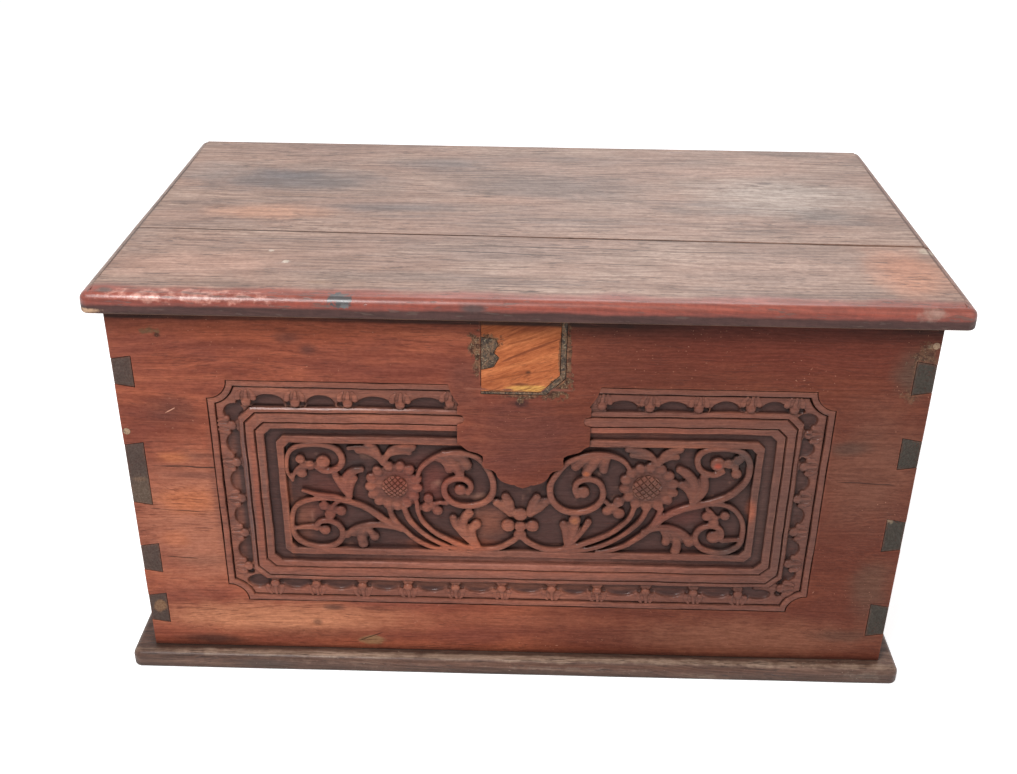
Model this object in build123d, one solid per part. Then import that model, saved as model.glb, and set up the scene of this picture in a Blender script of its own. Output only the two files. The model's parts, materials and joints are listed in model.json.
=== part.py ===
from build123d import *
import os

# Carved hardwood blanket chest: dovetailed box, two-plank lid on two butt hinges, slab base.
# Millimetres, +Z up, the carved front faces -Y, origin at the middle of the underside.

# Body: four dovetailed boards
body_width = 720.0
body_depth = 396.0
body_height = 370.0
board_thickness = 18.0
joint_clearance = 0.05

# Dovetail pins as (height of their middle above the body's bottom edge, height at the outer face),
# both as shares of the body's height
pin_flare = 3.0
left_front_pins = [(0.8297, 0.0676), (0.5419, 0.1676), (0.2851, 0.0757), (0.1230, 0.0811)]
right_front_pins = [(0.8541, 0.0730), (0.6459, 0.0730), (0.4054, 0.0838), (0.1351, 0.0892)]
back_pins = [(0.8595, 0.0757), (0.6243, 0.0757), (0.3757, 0.0757), (0.1351, 0.0757)]

# Base slab of two planks, which is also the floor
base_thickness = 18.0
base_side_overhang = 19.5
base_side_shift = -1.5
base_front_overhang = 14.5
base_back_overhang = 12.0
base_corner_radius = 9.0
base_top_round = 6.5
base_bottom_round = 2.5
base_joint_from_front = 205.0
base_joint_gap = 0.2

# Lid of two planks, moulded on the front and both ends, plain at the back
lid_thickness = 20.0
lid_side_overhang = 17.5
lid_side_shift = 3.5
lid_front_overhang = 17.0
lid_back_overhang = 16.0
lid_corner_radius = 8.5
lid_moulding_width = 8.5
lid_moulding_drop = 1.0
lid_top_round = 7.5
lid_bottom_round = 2.5
lid_joint_left = 136.5
lid_joint_right = 122.0
lid_gap_left = 0.3
lid_gap_right = 3.6

# Carved panel on the front board, heights up from the body's bottom edge
panel_width = 559.0
panel_bottom = 57.5
panel_below_top = 69.5
panel_scoop = 18.5

# Bands of the panel from its edge inwards: width, depth below the face, cut across the corners
border_width = 7.0
border_depth = 0.6
scallop_width = 18.5
scallop_depth = 2.6
outer_rail_width = 4.5
outer_rail_depth = 1.4
outer_rail_cant = 11.0
middle_rail_width = 10.0
middle_rail_depth = 0.8
middle_rail_cant = 10.0
inner_rail_width = 7.0
inner_rail_depth = 1.8
inner_rail_cant = 9.0
groove_side_width = 11.0
groove_top_width = 7.5
groove_depth = 6.0
groove_cant = 6.0
sill_width = 7.5
sill_depth = 2.4
sill_cant = 4.0
field_depth = 7.5
field_cant = 3.0

# Plain shield left standing in the middle of the panel's top, as half widths
shield_middle = 3.5
shield_top_half = 68.0
shield_horn_half = 58.5
shield_neck_half = 60.0
shield_bull_half = 53.5
shield_step = 1.5
# Its lobed lower edge as (half width, drop below the sill)
shield_lobes = [
    (55.5, 1.0), (52.5, 4.0), (49.5, 6.0), (40.5, 8.5), (37.0, 11.0), (36.5, 15.0),
    (37.5, 20.0), (35.5, 24.0), (31.5, 25.0), (27.5, 26.5), (25.0, 29.0), (23.5, 33.0),
    (20.5, 37.0), (16.5, 39.5), (10.5, 41.5), (7.5, 41.5), (5.5, 43.0), (0.0, 45.0),
]

# Patch let in where a lock was, and the putty beside it, down from the body's top edge
patch_left = -35.0
patch_right = 34.5
patch_height = 75.5
patch_cut_corner = 17.0
patch_depth = 9.0
putty_right_width = 5.0
putty_bottom_width = 2.5
putty_notch_width = 15.0
putty_notch_height = 32.0
putty_notch_below_top = 22.0
# The notch's broken edge as shares of its width and of its height
notch_edge = [(0.87, 0.94), (1.0, 0.75), (0.73, 0.53), (1.07, 0.375), (0.73, 0.09)]

# Pegs through the tails into the side boards
peg_radius = 3.2
peg_length = 32.0
peg_inset = 4.5
peg_clearance = 0.1
# Heights of the pegs at the front left, at the front right and at the back, as shares of the body's height
peg_heights = (0.6649, 0.9405, 0.2486)

# Dowels in the plank joints
dowel_radius = 4.0
dowel_length = 44.0
dowel_clearance = 0.1
dowel_count = 4
dowel_end_distance = 85.0

# Nails
nail_radius = 1.8
nail_head_radius = 4.0
nail_head_height = 1.6
nail_sink = 0.4
nail_clearance = 0.1
base_nail_length = 46.0
front_nail_count = 6
side_nail_count = 2
base_nail_end_distance = 60.0
batten_nail_length = 26.0
batten_nail_end_distance = 30.0
batten_nail_joint_distance = 37.0

# Battens under the lid
batten_width = 34.0
batten_thickness = 14.0
batten_gap_to_wall = 12.0

# Butt hinges
hinge_from_end = 125.0
hinge_length = 60.0
leaf_thickness = 1.6
leaf_reach = 15.0
leaf_gap = 0.4
leaf_fit = 0.15
barrel_radius = 3.5
barrel_gap_to_back = 0.2
knuckle_count = 5
knuckle_gap = 0.3
hinge_pin_radius = 1.5
hinge_pin_clearance = 0.06
hinge_pin_head_radius = 2.4
hinge_pin_head_height = 1.2
barrel_notch_room = 0.8
screw_radius = 1.5
screw_head_radius = 3.0
screw_length = 14.0
screw_clearance = 0.1
screw_slot_width = 0.8
screw_slot_depth = 0.6
screws_per_leaf = 3
screw_spacing = 21.0

# Levels and faces that the sizes above give
base_top = base_thickness
body_top = base_top + body_height
lid_top = body_top + lid_thickness
side_x = body_width / 2
base_left = base_side_shift - side_x - base_side_overhang
base_right = base_side_shift + side_x + base_side_overhang
lid_left = lid_side_shift - side_x - lid_side_overhang
lid_right = lid_side_shift + side_x + lid_side_overhang
front_overhang = max(base_front_overhang, lid_front_overhang)
back_overhang = max(base_back_overhang, lid_back_overhang)
front_y = (front_overhang - back_overhang - body_depth) / 2
back_y = front_y + body_depth
body_middle_y = (front_y + back_y) / 2
inner_front_y = front_y + board_thickness
inner_back_y = back_y - board_thickness
hinge_y = back_y + barrel_radius + barrel_gap_to_back
hinge_z = body_top
hinge_place = side_x - hinge_from_end
panel_height = body_height - panel_bottom - panel_below_top
patch_low = body_top - patch_height
notch_high = body_top - putty_notch_below_top
notch_low = notch_high - putty_notch_height
# Sideways move that brings the whole chest's middle to the origin
centring_x = -(min(base_left, lid_left) + max(base_right, lid_right)) / 2


def box(x0, x1, y0, y1, z0, z1):
    middle = ((x0 + x1) / 2, (y0 + y1) / 2, (z0 + z1) / 2)
    return Pos(*middle) * Box(abs(x1 - x0), abs(y1 - y0), abs(z1 - z0))


def rod(radius, length):
    return Cylinder(radius, length, align=(Align.CENTER, Align.CENTER, Align.MIN))


def front_face(points):
    # Face from (x, height) points as seen from the front
    return Plane.XZ * make_face(Polyline(*points, close=True))


def front_prism(face, y0, y1):
    return Pos(0, y1, 0) * extrude(face, amount=y1 - y0)


def write(name, shape):
    os.makedirs("parts", exist_ok=True)
    placed = Pos(centring_x, 0, 0) * shape
    placed.label = name
    export_step(placed, f"parts/{name}.step")


def spread(low, high, count):
    step = (high - low) / (count - 1)
    return [low + step * i for i in range(count)]


# Dovetails
def pin_solid(side, middle, height, y0, y1, room):
    # Seen from the front a pin is low at the outer face and tall at the inner face
    outer = side * side_x
    inner = side * (side_x - board_thickness - room)
    low = base_top + (middle - height / 2) * body_height - room
    high = base_top + (middle + height / 2) * body_height + room
    points = [(outer, low), (outer, high), (inner, high + pin_flare), (inner, low - pin_flare)]
    return front_prism(front_face(points), y0, y1)


def tail_board(y0, y1, left_rows, right_rows):
    board = box(-side_x, side_x, y0, y1, base_top, body_top)
    for side, rows in ((-1, left_rows), (1, right_rows)):
        for middle, height in rows:
            board -= pin_solid(side, middle, height, y0, y1, joint_clearance)
        for peg in peg_places(side):
            board -= peg_rod(*peg, peg_clearance)
    for x, y in base_nail_places():
        board -= nail(x, y, nail_sink, base_nail_length, nail_clearance)
    return board


def side_board(side, front_rows):
    outer = side * side_x
    inner = side * (side_x - board_thickness)
    y0 = inner_front_y + joint_clearance
    y1 = inner_back_y - joint_clearance
    board = box(outer, inner, y0, y1, base_top, body_top)
    for middle, height in front_rows:
        board += pin_solid(side, middle, height, front_y, y0, 0.0)
    for middle, height in back_pins:
        board += pin_solid(side, middle, height, y1, back_y, 0.0)
    for peg in peg_places(side):
        board -= peg_rod(*peg, peg_clearance)
    for x, y in base_nail_places():
        board -= nail(x, y, nail_sink, base_nail_length, nail_clearance)
    return board


# Pegs
def peg_places(side):
    x = side * (side_x - peg_inset)
    left_share, right_share, back_share = peg_heights
    front_share = left_share if side < 0 else right_share
    front = (x, front_y, base_top + front_share * body_height, 1)
    back = (x, back_y, base_top + back_share * body_height, -1)
    return [front, back]


def peg_rod(x, y, z, way, room):
    return Pos(x, y, z) * Rotation(-90 * way, 0, 0) * rod(peg_radius + room, peg_length + room)


def tail_pegs():
    pegs = [peg_rod(*peg, 0.0) for side in (-1, 1) for peg in peg_places(side)]
    return Compound(pegs)


# Carved panel
def panel_box():
    low = base_top + panel_bottom
    return -panel_width / 2, panel_width / 2, low, low + panel_height


def scooped_face(inset):
    # Rectangle with its corners scooped out about the panel's own corners
    x0, x1, z0, z1 = panel_box()
    width = x1 - x0 - 2 * inset
    height = z1 - z0 - 2 * inset
    sketch = Pos(0, (z0 + z1) / 2) * Rectangle(width, height)
    for x in (x0, x1):
        for z in (z0, z1):
            sketch -= Pos(x, z) * Circle(panel_scoop + inset)
    return Plane.XZ * sketch


def canted_face(side_inset, top_inset, cant):
    x0, x1, z0, z1 = panel_box()
    x0, x1 = x0 + side_inset, x1 - side_inset
    z0, z1 = z0 + top_inset, z1 - top_inset
    points = [
        (x0 + cant, z0), (x1 - cant, z0), (x1, z0 + cant), (x1, z1 - cant),
        (x1 - cant, z1), (x0 + cant, z1), (x0, z1 - cant), (x0, z0 + cant),
    ]
    return front_face(points)


def panel_bands():
    # Each band's face, covering all that lies inside it, and its depth
    scallop = border_width
    outer_rail = scallop + scallop_width
    middle_rail = outer_rail + outer_rail_width
    inner_rail = middle_rail + middle_rail_width
    groove = inner_rail + inner_rail_width
    sill_side = groove + groove_side_width
    sill_top = groove + groove_top_width
    field_side = sill_side + sill_width
    field_top = sill_top + sill_width
    return [
        (scooped_face(0.0), border_depth),
        (scooped_face(scallop), scallop_depth),
        (canted_face(outer_rail, outer_rail, outer_rail_cant), outer_rail_depth),
        (canted_face(middle_rail, middle_rail, middle_rail_cant), middle_rail_depth),
        (canted_face(inner_rail, inner_rail, inner_rail_cant), inner_rail_depth),
        (canted_face(groove, groove, groove_cant), groove_depth),
        (canted_face(sill_side, sill_top, sill_cant), sill_depth),
        (canted_face(field_side, field_top, field_cant), field_depth),
    ]


def shield_face():
    edge = base_top + panel_bottom + panel_height
    horn = edge - border_width - 0.7 * scallop_width
    rail_top = edge - border_width - scallop_width - outer_rail_width
    rail_low = rail_top - middle_rail_width
    rail_middle = (rail_top + rail_low) / 2
    sill_low = rail_low - inner_rail_width - groove_top_width - sill_width
    half = [
        (shield_top_half, edge + shield_step),
        (shield_top_half, edge),
        ((shield_top_half + shield_horn_half) / 2 + shield_step, (edge + horn) / 2),
        (shield_horn_half, horn),
        (shield_neck_half, horn - shield_step),
        (shield_neck_half, rail_top),
        (shield_bull_half + shield_step, rail_top - shield_step),
        (shield_bull_half, rail_middle),
        (shield_bull_half + shield_step, rail_low + shield_step),
        (shield_neck_half, rail_low),
        (shield_neck_half, sill_low + shield_step),
    ]
    half += [(width, sill_low - drop) for width, drop in shield_lobes]
    right = [(shield_middle + x, z) for x, z in half]
    left = [(shield_middle - x, z) for x, z in reversed(half[:-1])]
    return front_face(right + left)


def panel_cut():
    # What the carver took away: every band down to its depth, the shield left standing
    air = front_y - 2.0
    deep = front_y + board_thickness
    cut = None
    for face, depth in panel_bands():
        piece = front_prism(face, air, front_y + depth)
        if cut is None:
            cut = piece
        else:
            cut = cut - front_prism(face, air, deep) + piece
    return cut - front_prism(shield_face(), air, deep)


# Patch and putty
def patch_outline(grow_right, grow_bottom):
    left = patch_left
    right = patch_right + grow_right
    low = patch_low - grow_bottom
    corner = patch_cut_corner
    return [
        (left, body_top), (left, low), (right - corner, low), (right, low + corner), (right, body_top),
    ]


def notch_outline():
    # Broken bay in the patch's left edge
    edge = [(patch_left + putty_notch_width * x, notch_low + putty_notch_height * z) for x, z in notch_edge]
    return [(patch_left, notch_high)] + edge + [(patch_left, notch_low)]


def patch_opening():
    face = front_face(patch_outline(putty_right_width, putty_bottom_width))
    return front_prism(face, front_y - 1.0, front_y + patch_depth)


def lock_patch():
    patch = front_prism(front_face(patch_outline(0.0, 0.0)), front_y, front_y + patch_depth)
    return patch - front_prism(front_face(notch_outline()), front_y - 1.0, front_y + patch_depth + 1.0)


def lock_patch_putty():
    opening = front_prism(
        front_face(patch_outline(putty_right_width, putty_bottom_width)), front_y, front_y + patch_depth
    )
    patch = front_face(patch_outline(0.0, 0.0))
    strip = opening - front_prism(patch, front_y - 1.0, front_y + patch_depth + 1.0)
    bay = front_prism(front_face(notch_outline()), front_y, front_y + patch_depth)
    return Compound(list(strip.solids()) + list(bay.solids()))


# Slabs
def rounded_slab(x0, x1, y0, y1, z0, z1, corner, top_round, bottom_round, ways):
    # Slab with corners rounded in plan and its rim rounded on the sides named in ways
    slab = box(x0, x1, y0, y1, z0, z1)
    upright = slab.edges().filter_by(Axis.Z)
    chosen = [e for e in upright if "back" in ways or e.center().Y < (y0 + y1) / 2]
    slab = fillet(chosen, corner)
    for z, radius in ((z1, top_round), (z0, bottom_round)):
        rim = [e for e in slab.edges() if abs(e.center().Z - z) < 0.01]
        rim = [e for e in rim if "back" in ways or e.center().Y < y1 - 0.01]
        slab = fillet(rim, radius)
    return slab


def trim_back_corner(slab, x, side, y1, z0, z1, corner):
    wedge = box(x, x - side * corner, y1 - corner, y1, z0, z1)
    wedge -= Pos(x - side * corner, y1 - corner, z0) * rod(corner, z1 - z0)
    return slab - wedge


def plan_prism(points, z0, z1):
    face = make_face(Polyline(*points, close=True))
    return Pos(0, 0, z0) * extrude(face, amount=z1 - z0)


# Base
def base_slab():
    y0 = front_y - base_front_overhang
    y1 = back_y + base_back_overhang
    slab = rounded_slab(
        base_left, base_right, y0, y1, 0.0, base_top,
        base_corner_radius, base_top_round, base_bottom_round, ("back",),
    )
    for x, y in base_nail_places():
        slab -= nail(x, y, nail_sink, base_nail_length, nail_clearance)
    for dowel in base_dowel_places():
        slab -= dowel_rod(*dowel, dowel_clearance)
    return slab


def base_plank(front):
    joint = front_y + base_joint_from_front
    y0 = front_y - base_front_overhang - 1.0
    y1 = back_y + base_back_overhang + 1.0
    if front:
        keep = box(base_left, base_right, y0, joint, 0.0, base_top)
    else:
        keep = box(base_left, base_right, joint + base_joint_gap, y1, 0.0, base_top)
    return base_slab() & keep


def base_nail_places():
    reach_x = side_x - base_nail_end_distance
    reach_y = body_depth / 4
    half_board = board_thickness / 2
    places = []
    for x in spread(-reach_x, reach_x, front_nail_count):
        places += [(x, front_y + half_board), (x, back_y - half_board)]
    for y in spread(body_middle_y - reach_y, body_middle_y + reach_y, side_nail_count):
        places += [(half_board - side_x, y), (side_x - half_board, y)]
    return places


def base_nails():
    return Compound([nail(x, y, nail_sink, base_nail_length, 0.0) for x, y in base_nail_places()])


# Nails, driven upwards from z
def nail(x, y, z, length, room):
    head = rod(nail_head_radius + room, nail_head_height)
    shank = rod(nail_radius + room, length + room)
    whole = head + shank
    if room > 0:
        # The hole is open below, where the head is sunk
        whole += Pos(0, 0, -nail_sink) * rod(nail_head_radius + room, nail_sink + nail_head_height)
    return Pos(x, y, z) * whole


# Dowels
def dowel_rod(x, y, z, room):
    length = dowel_length + 2 * room
    return Pos(x, y - length / 2, z) * Rotation(-90, 0, 0) * rod(dowel_radius + room, length)


def base_dowel_places():
    y = front_y + base_joint_from_front + base_joint_gap / 2
    reach = side_x - dowel_end_distance
    return [(x, y, base_thickness / 2) for x in spread(-reach, reach, dowel_count)]


def lid_dowel_places():
    reach = side_x - dowel_end_distance
    z = body_top + lid_thickness / 2
    return [(x, lid_joint_y(x) + lid_gap(x) / 2, z) for x in spread(-reach, reach, dowel_count)]


# Lid
def lid_share(x):
    return (x - lid_left) / (lid_right - lid_left)


def lid_joint_y(x):
    return front_y + lid_joint_left + (lid_joint_right - lid_joint_left) * lid_share(x)


def lid_gap(x):
    return lid_gap_left + (lid_gap_right - lid_gap_left) * lid_share(x)


def lid_slab():
    y0 = front_y - lid_front_overhang
    y1 = back_y + lid_back_overhang
    low_top = lid_top - lid_moulding_drop
    slab = rounded_slab(
        lid_left, lid_right, y0, y1, body_top, low_top,
        lid_corner_radius, lid_top_round, lid_bottom_round, (),
    )
    inset = lid_moulding_width
    raised = box(lid_left + inset, lid_right - inset, y0 + inset, y1, low_top - lid_moulding_drop, lid_top)
    corners = [e for e in raised.edges().filter_by(Axis.Z) if e.center().Y < y1 - 0.01]
    slab += fillet(corners, lid_corner_radius / 3)
    for x, side in ((lid_left, -1), (lid_right, 1)):
        slab = trim_back_corner(slab, x, side, y1, body_top, lid_top, lid_corner_radius)
    return slab


def lid_plank(front):
    y0 = front_y - lid_front_overhang - 1.0
    y1 = back_y + lid_back_overhang + 1.0
    if front:
        region = [
            (lid_left, y0), (lid_right, y0),
            (lid_right, lid_joint_y(lid_right)), (lid_left, lid_joint_y(lid_left)),
        ]
    else:
        region = [
            (lid_left, y1), (lid_right, y1),
            (lid_right, lid_joint_y(lid_right) + lid_gap_right),
            (lid_left, lid_joint_y(lid_left) + lid_gap_left),
        ]
    plank = lid_slab() & plan_prism(region, body_top, lid_top)
    for dowel in lid_dowel_places():
        plank -= dowel_rod(*dowel, dowel_clearance)
    for x, y in batten_nail_spots():
        plank -= nail(x, y, batten_low() + nail_sink, batten_nail_length, nail_clearance)
    if not front:
        plank = cut_lid_for_hinges(plank)
    return plank


# Battens
def batten_low():
    return body_top - batten_thickness


def batten_middle_x(side):
    return side * (side_x - board_thickness - batten_gap_to_wall - batten_width / 2)


def batten_ends():
    return inner_front_y + batten_gap_to_wall, inner_back_y - batten_gap_to_wall


def batten_nail_spots():
    # Two nails into the front plank and three into the back one
    y0, y1 = batten_ends()
    first = y0 + batten_nail_end_distance
    last = y1 - batten_nail_end_distance
    spots = []
    for side in (-1, 1):
        x = batten_middle_x(side)
        joint = lid_joint_y(x)
        before = max(joint - batten_nail_joint_distance, first + 4 * nail_head_radius)
        after = joint + batten_nail_joint_distance
        spots += [(x, y) for y in (first, before, after, (after + last) / 2, last)]
    return spots


def lid_batten(side):
    x = batten_middle_x(side)
    y0, y1 = batten_ends()
    half = batten_width / 2
    batten = box(x - half, x + half, y0, y1, batten_low(), body_top)
    low = [e for e in batten.edges() if abs(e.center().Z - batten_low()) < 0.01]
    batten = chamfer(low, batten_thickness / 5)
    for nail_x, nail_y in batten_nail_spots():
        batten -= nail(nail_x, nail_y, batten_low() + nail_sink, batten_nail_length, nail_clearance)
    return batten


def batten_nails():
    z = batten_low() + nail_sink
    return Compound([nail(x, y, z, batten_nail_length, 0.0) for x, y in batten_nail_spots()])


# Hinges
def leaf_levels(on_lid):
    way = 1 if on_lid else -1
    near = hinge_z + way * leaf_gap / 2
    return near, near + way * leaf_thickness


def knuckle_spans(middle_x):
    step = hinge_length / knuckle_count
    start = middle_x - hinge_length / 2
    return [(start + step * i, start + step * (i + 1)) for i in range(knuckle_count)]


def along_x(radius, x0, x1):
    return Pos(x0, hinge_y, hinge_z) * Rotation(0, 90, 0) * rod(radius, x1 - x0)


def hinge_leaf(middle_x, on_lid):
    near, far = leaf_levels(on_lid)
    half = hinge_length / 2
    leaf = box(middle_x - half, middle_x + half, back_y - leaf_reach, hinge_y, near, far)
    clear = barrel_radius + knuckle_gap
    for i, (x0, x1) in enumerate(knuckle_spans(middle_x)):
        own = (i % 2 == 1) if on_lid else (i % 2 == 0)
        if own:
            leaf += along_x(barrel_radius, x0 + knuckle_gap / 2, x1 - knuckle_gap / 2)
    for i, (x0, x1) in enumerate(knuckle_spans(middle_x)):
        own = (i % 2 == 1) if on_lid else (i % 2 == 0)
        if not own:
            x0, x1 = x0 - knuckle_gap / 2, x1 + knuckle_gap / 2
            leaf -= box(x0, x1, hinge_y - clear, hinge_y + clear, hinge_z - clear, hinge_z + clear)
    leaf -= along_x(hinge_pin_radius + hinge_pin_clearance, middle_x - half - 1.0, middle_x + half + 1.0)
    for x in screw_places(middle_x):
        leaf -= screw(x, on_lid, screw_clearance)
    return leaf


def hinge_pin(middle_x):
    half = hinge_length / 2
    pin = along_x(hinge_pin_radius, middle_x - half, middle_x + half)
    for x0, x1 in ((middle_x - half - hinge_pin_head_height, middle_x - half),
                   (middle_x + half, middle_x + half + hinge_pin_head_height)):
        pin += along_x(hinge_pin_head_radius, x0, x1)
    return pin


def leaf_mortise(middle_x, on_lid):
    near, far = leaf_levels(on_lid)
    half = hinge_length / 2 + leaf_fit
    edge = hinge_z - (far - hinge_z) * 0.1
    return box(middle_x - half, middle_x + half, back_y - leaf_reach - leaf_fit, hinge_y, edge, far)


def screw_places(middle_x):
    reach = screw_spacing * (screws_per_leaf - 1) / 2
    return [middle_x + x for x in spread(-reach, reach, screws_per_leaf)]


def screw(x, on_lid, room):
    # Countersunk screw, its head level with the leaf's open face
    near, far = leaf_levels(on_lid)
    head = Cone(
        screw_radius + room, screw_head_radius + room, leaf_thickness,
        align=(Align.CENTER, Align.CENTER, Align.MAX),
    )
    shank = Pos(0, 0, -screw_length - room) * rod(screw_radius + room, screw_length + room)
    body = head + shank
    if room == 0:
        body -= Pos(0, 0, -screw_slot_depth / 2) * Box(
            3 * screw_head_radius, screw_slot_width, screw_slot_depth
        )
    turn = 180 if on_lid else 0
    return Pos(x, back_y - leaf_reach / 2, near) * Rotation(turn, 0, 0) * body


def leaf_screws(on_lid):
    places = [x for middle in (-hinge_place, hinge_place) for x in screw_places(middle)]
    return Compound([screw(x, on_lid, 0.0) for x in places])


def cut_lid_for_hinges(plank):
    for middle in (-hinge_place, hinge_place):
        plank -= leaf_mortise(middle, True)
        half = hinge_length / 2 + hinge_pin_head_height + barrel_notch_room
        reach = barrel_radius + barrel_notch_room
        plank -= box(
            middle - half, middle + half, hinge_y - reach, hinge_y + reach, hinge_z - 1.0, hinge_z + reach
        )
        for x in screw_places(middle):
            plank -= screw(x, True, screw_clearance)
    return plank


# Boards that carry the carving and the hinges
def front_board():
    board = tail_board(front_y, inner_front_y, left_front_pins, right_front_pins)
    board -= panel_cut()
    board -= patch_opening()
    return board


def back_board():
    board = tail_board(inner_back_y, back_y, back_pins, back_pins)
    for middle in (-hinge_place, hinge_place):
        board -= leaf_mortise(middle, False)
        for x in screw_places(middle):
            board -= screw(x, False, screw_clearance)
    return board


write("front_board", front_board())
write("back_board", back_board())
write("left_side_board", side_board(-1, left_front_pins))
write("right_side_board", side_board(1, right_front_pins))
write("lock_patch", lock_patch())
write("lock_patch_putty", lock_patch_putty())
write("tail_pegs", tail_pegs())
write("base_front_plank", base_plank(True))
write("base_back_plank", base_plank(False))
write("base_dowels", Compound([dowel_rod(*dowel, 0.0) for dowel in base_dowel_places()]))
write("base_nails", base_nails())
write("lid_front_plank", lid_plank(True))
write("lid_back_plank", lid_plank(False))
write("lid_dowels", Compound([dowel_rod(*dowel, 0.0) for dowel in lid_dowel_places()]))
write("lid_left_batten", lid_batten(-1))
write("lid_right_batten", lid_batten(1))
write("batten_nails", batten_nails())
for name, middle in (("left", -hinge_place), ("right", hinge_place)):
    write(f"hinge_{name}_case_leaf", hinge_leaf(middle, False))
    write(f"hinge_{name}_lid_leaf", hinge_leaf(middle, True))
    write(f"hinge_{name}_pin", hinge_pin(middle))
write("case_leaf_screws", leaf_screws(False))
write("lid_leaf_screws", leaf_screws(True))
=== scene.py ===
import bmesh
import bpy
import json
import math
from mathutils import Matrix, Vector, noise

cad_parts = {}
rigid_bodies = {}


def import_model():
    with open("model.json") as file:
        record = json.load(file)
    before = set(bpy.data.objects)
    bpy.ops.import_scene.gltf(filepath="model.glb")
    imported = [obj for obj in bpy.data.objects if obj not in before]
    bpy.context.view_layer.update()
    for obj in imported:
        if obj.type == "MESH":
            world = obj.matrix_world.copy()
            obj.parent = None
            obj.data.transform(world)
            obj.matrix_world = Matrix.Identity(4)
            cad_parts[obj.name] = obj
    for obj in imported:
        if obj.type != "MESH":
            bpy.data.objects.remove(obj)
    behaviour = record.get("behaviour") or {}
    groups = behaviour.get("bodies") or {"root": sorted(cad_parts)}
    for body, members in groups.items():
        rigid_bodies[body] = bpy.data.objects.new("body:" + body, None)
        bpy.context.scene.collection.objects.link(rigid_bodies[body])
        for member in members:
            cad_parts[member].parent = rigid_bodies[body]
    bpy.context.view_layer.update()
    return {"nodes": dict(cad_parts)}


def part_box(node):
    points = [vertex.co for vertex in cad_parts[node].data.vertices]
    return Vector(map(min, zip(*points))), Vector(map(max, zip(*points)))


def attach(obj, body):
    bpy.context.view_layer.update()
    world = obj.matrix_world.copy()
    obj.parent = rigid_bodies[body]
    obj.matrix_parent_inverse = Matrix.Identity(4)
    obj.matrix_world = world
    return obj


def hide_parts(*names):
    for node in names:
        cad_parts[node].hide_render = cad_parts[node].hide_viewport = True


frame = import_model()
noise.seed_set(3)          # or else the wavering of the rails would differ from run to run
nodes = frame["nodes"]
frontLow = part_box("front_board")[0]
faceY, bodyLow = frontLow.y, frontLow.z          # carved face and lower edge of the front board
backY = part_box("back_board")[1].y
lidLow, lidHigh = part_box("lid_back_plank")
lidLeft, lidRight, lidTop = lidLow.x, lidHigh.x, lidHigh.z
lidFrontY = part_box("lid_front_plank")[0].y
print("frame loaded:", len(nodes), "nodes")


# Placing, in millimetres
def onFront(x, z):
    # Across and up from the body's lower edge, on the carved face
    return Vector((x / 1000, faceY, bodyLow + z / 1000))


def onLid(x, depth):
    # Across and back from the carved face, on the lid's top
    return Vector((x / 1000, faceY + depth / 1000, lidTop))


def paint(red, green, blue):
    # A colour as seen on screen, 0 to 255, for a shader socket
    def straight(value):
        value /= 255
        return value / 12.92 if value <= 0.04045 else ((value + 0.055) / 1.055) ** 2.4
    return (straight(red), straight(green), straight(blue), 1.0)


# Node helpers
def put(tree, socket, value):
    if isinstance(value, bpy.types.NodeSocket):
        tree.links.new(value, socket)
    elif value is not None:
        socket.default_value = value


def addNode(tree, kind, **settings):
    node = tree.nodes.new(kind)
    for key, value in settings.items():
        setattr(node, key, value)
    return node


def maths(tree, operation, first, second=None, third=None, clamp=False):
    node = addNode(tree, "ShaderNodeMath", operation=operation, use_clamp=clamp)
    for socket, value in zip(node.inputs, (first, second, third)):
        put(tree, socket, value)
    return node.outputs[0]


def vectors(tree, operation, first, second=None, scale=None):
    node = addNode(tree, "ShaderNodeVectorMath", operation=operation)
    put(tree, node.inputs[0], first)
    if second is not None:
        put(tree, node.inputs[1], second)
    if scale is not None:
        put(tree, node.inputs["Scale"], scale)
    return node.outputs["Value" if operation in ("LENGTH", "DOT_PRODUCT", "DISTANCE") else "Vector"]


def mixColours(tree, factor, first, second, blend="MIX"):
    node = addNode(tree, "ShaderNodeMix", data_type="RGBA", blend_type=blend, clamp_factor=True)
    put(tree, node.inputs[0], factor)
    put(tree, node.inputs[6], first)
    put(tree, node.inputs[7], second)
    return node.outputs[2]


def ramp(tree, factor, stops):
    node = addNode(tree, "ShaderNodeValToRGB")
    put(tree, node.inputs[0], factor)
    elements = node.color_ramp.elements
    while len(elements) < len(stops):
        elements.new(0.5)
    for element, (place, colour) in zip(elements, stops):
        element.position = place
        element.color = colour
    return node.outputs[0]


def spread(tree, value, low, high, toLow=0.0, toHigh=1.0):
    node = addNode(tree, "ShaderNodeMapRange", interpolation_type="SMOOTHSTEP")
    for index, number in enumerate((value, low, high, toLow, toHigh)):
        put(tree, node.inputs[index], number)
    return node.outputs[0]


def cloud(tree, vector, scale, detail=2.0, roughness=0.5, distortion=0.0):
    node = addNode(tree, "ShaderNodeTexNoise")
    put(tree, node.inputs["Vector"], vector)
    put(tree, node.inputs["Scale"], scale)
    node.inputs["Detail"].default_value = detail
    node.inputs["Roughness"].default_value = roughness
    node.inputs["Distortion"].default_value = distortion
    return node.outputs["Fac"]


def newGroup(name, given, made):
    tree = bpy.data.node_groups.new(name, "ShaderNodeTree")
    for label, kind, value in given:
        socket = tree.interface.new_socket(name=label, in_out="INPUT", socket_type=kind)
        if value is not None:
            socket.default_value = value
    for label, kind in made:
        tree.interface.new_socket(name=label, in_out="OUTPUT", socket_type=kind)
    return tree, tree.nodes.new("NodeGroupInput").outputs, tree.nodes.new("NodeGroupOutput").inputs


def useGroup(tree, group, **values):
    node = addNode(tree, "ShaderNodeGroup", node_tree=group)
    for label, value in values.items():
        put(tree, node.inputs[label], value)
    return node.outputs


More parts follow.
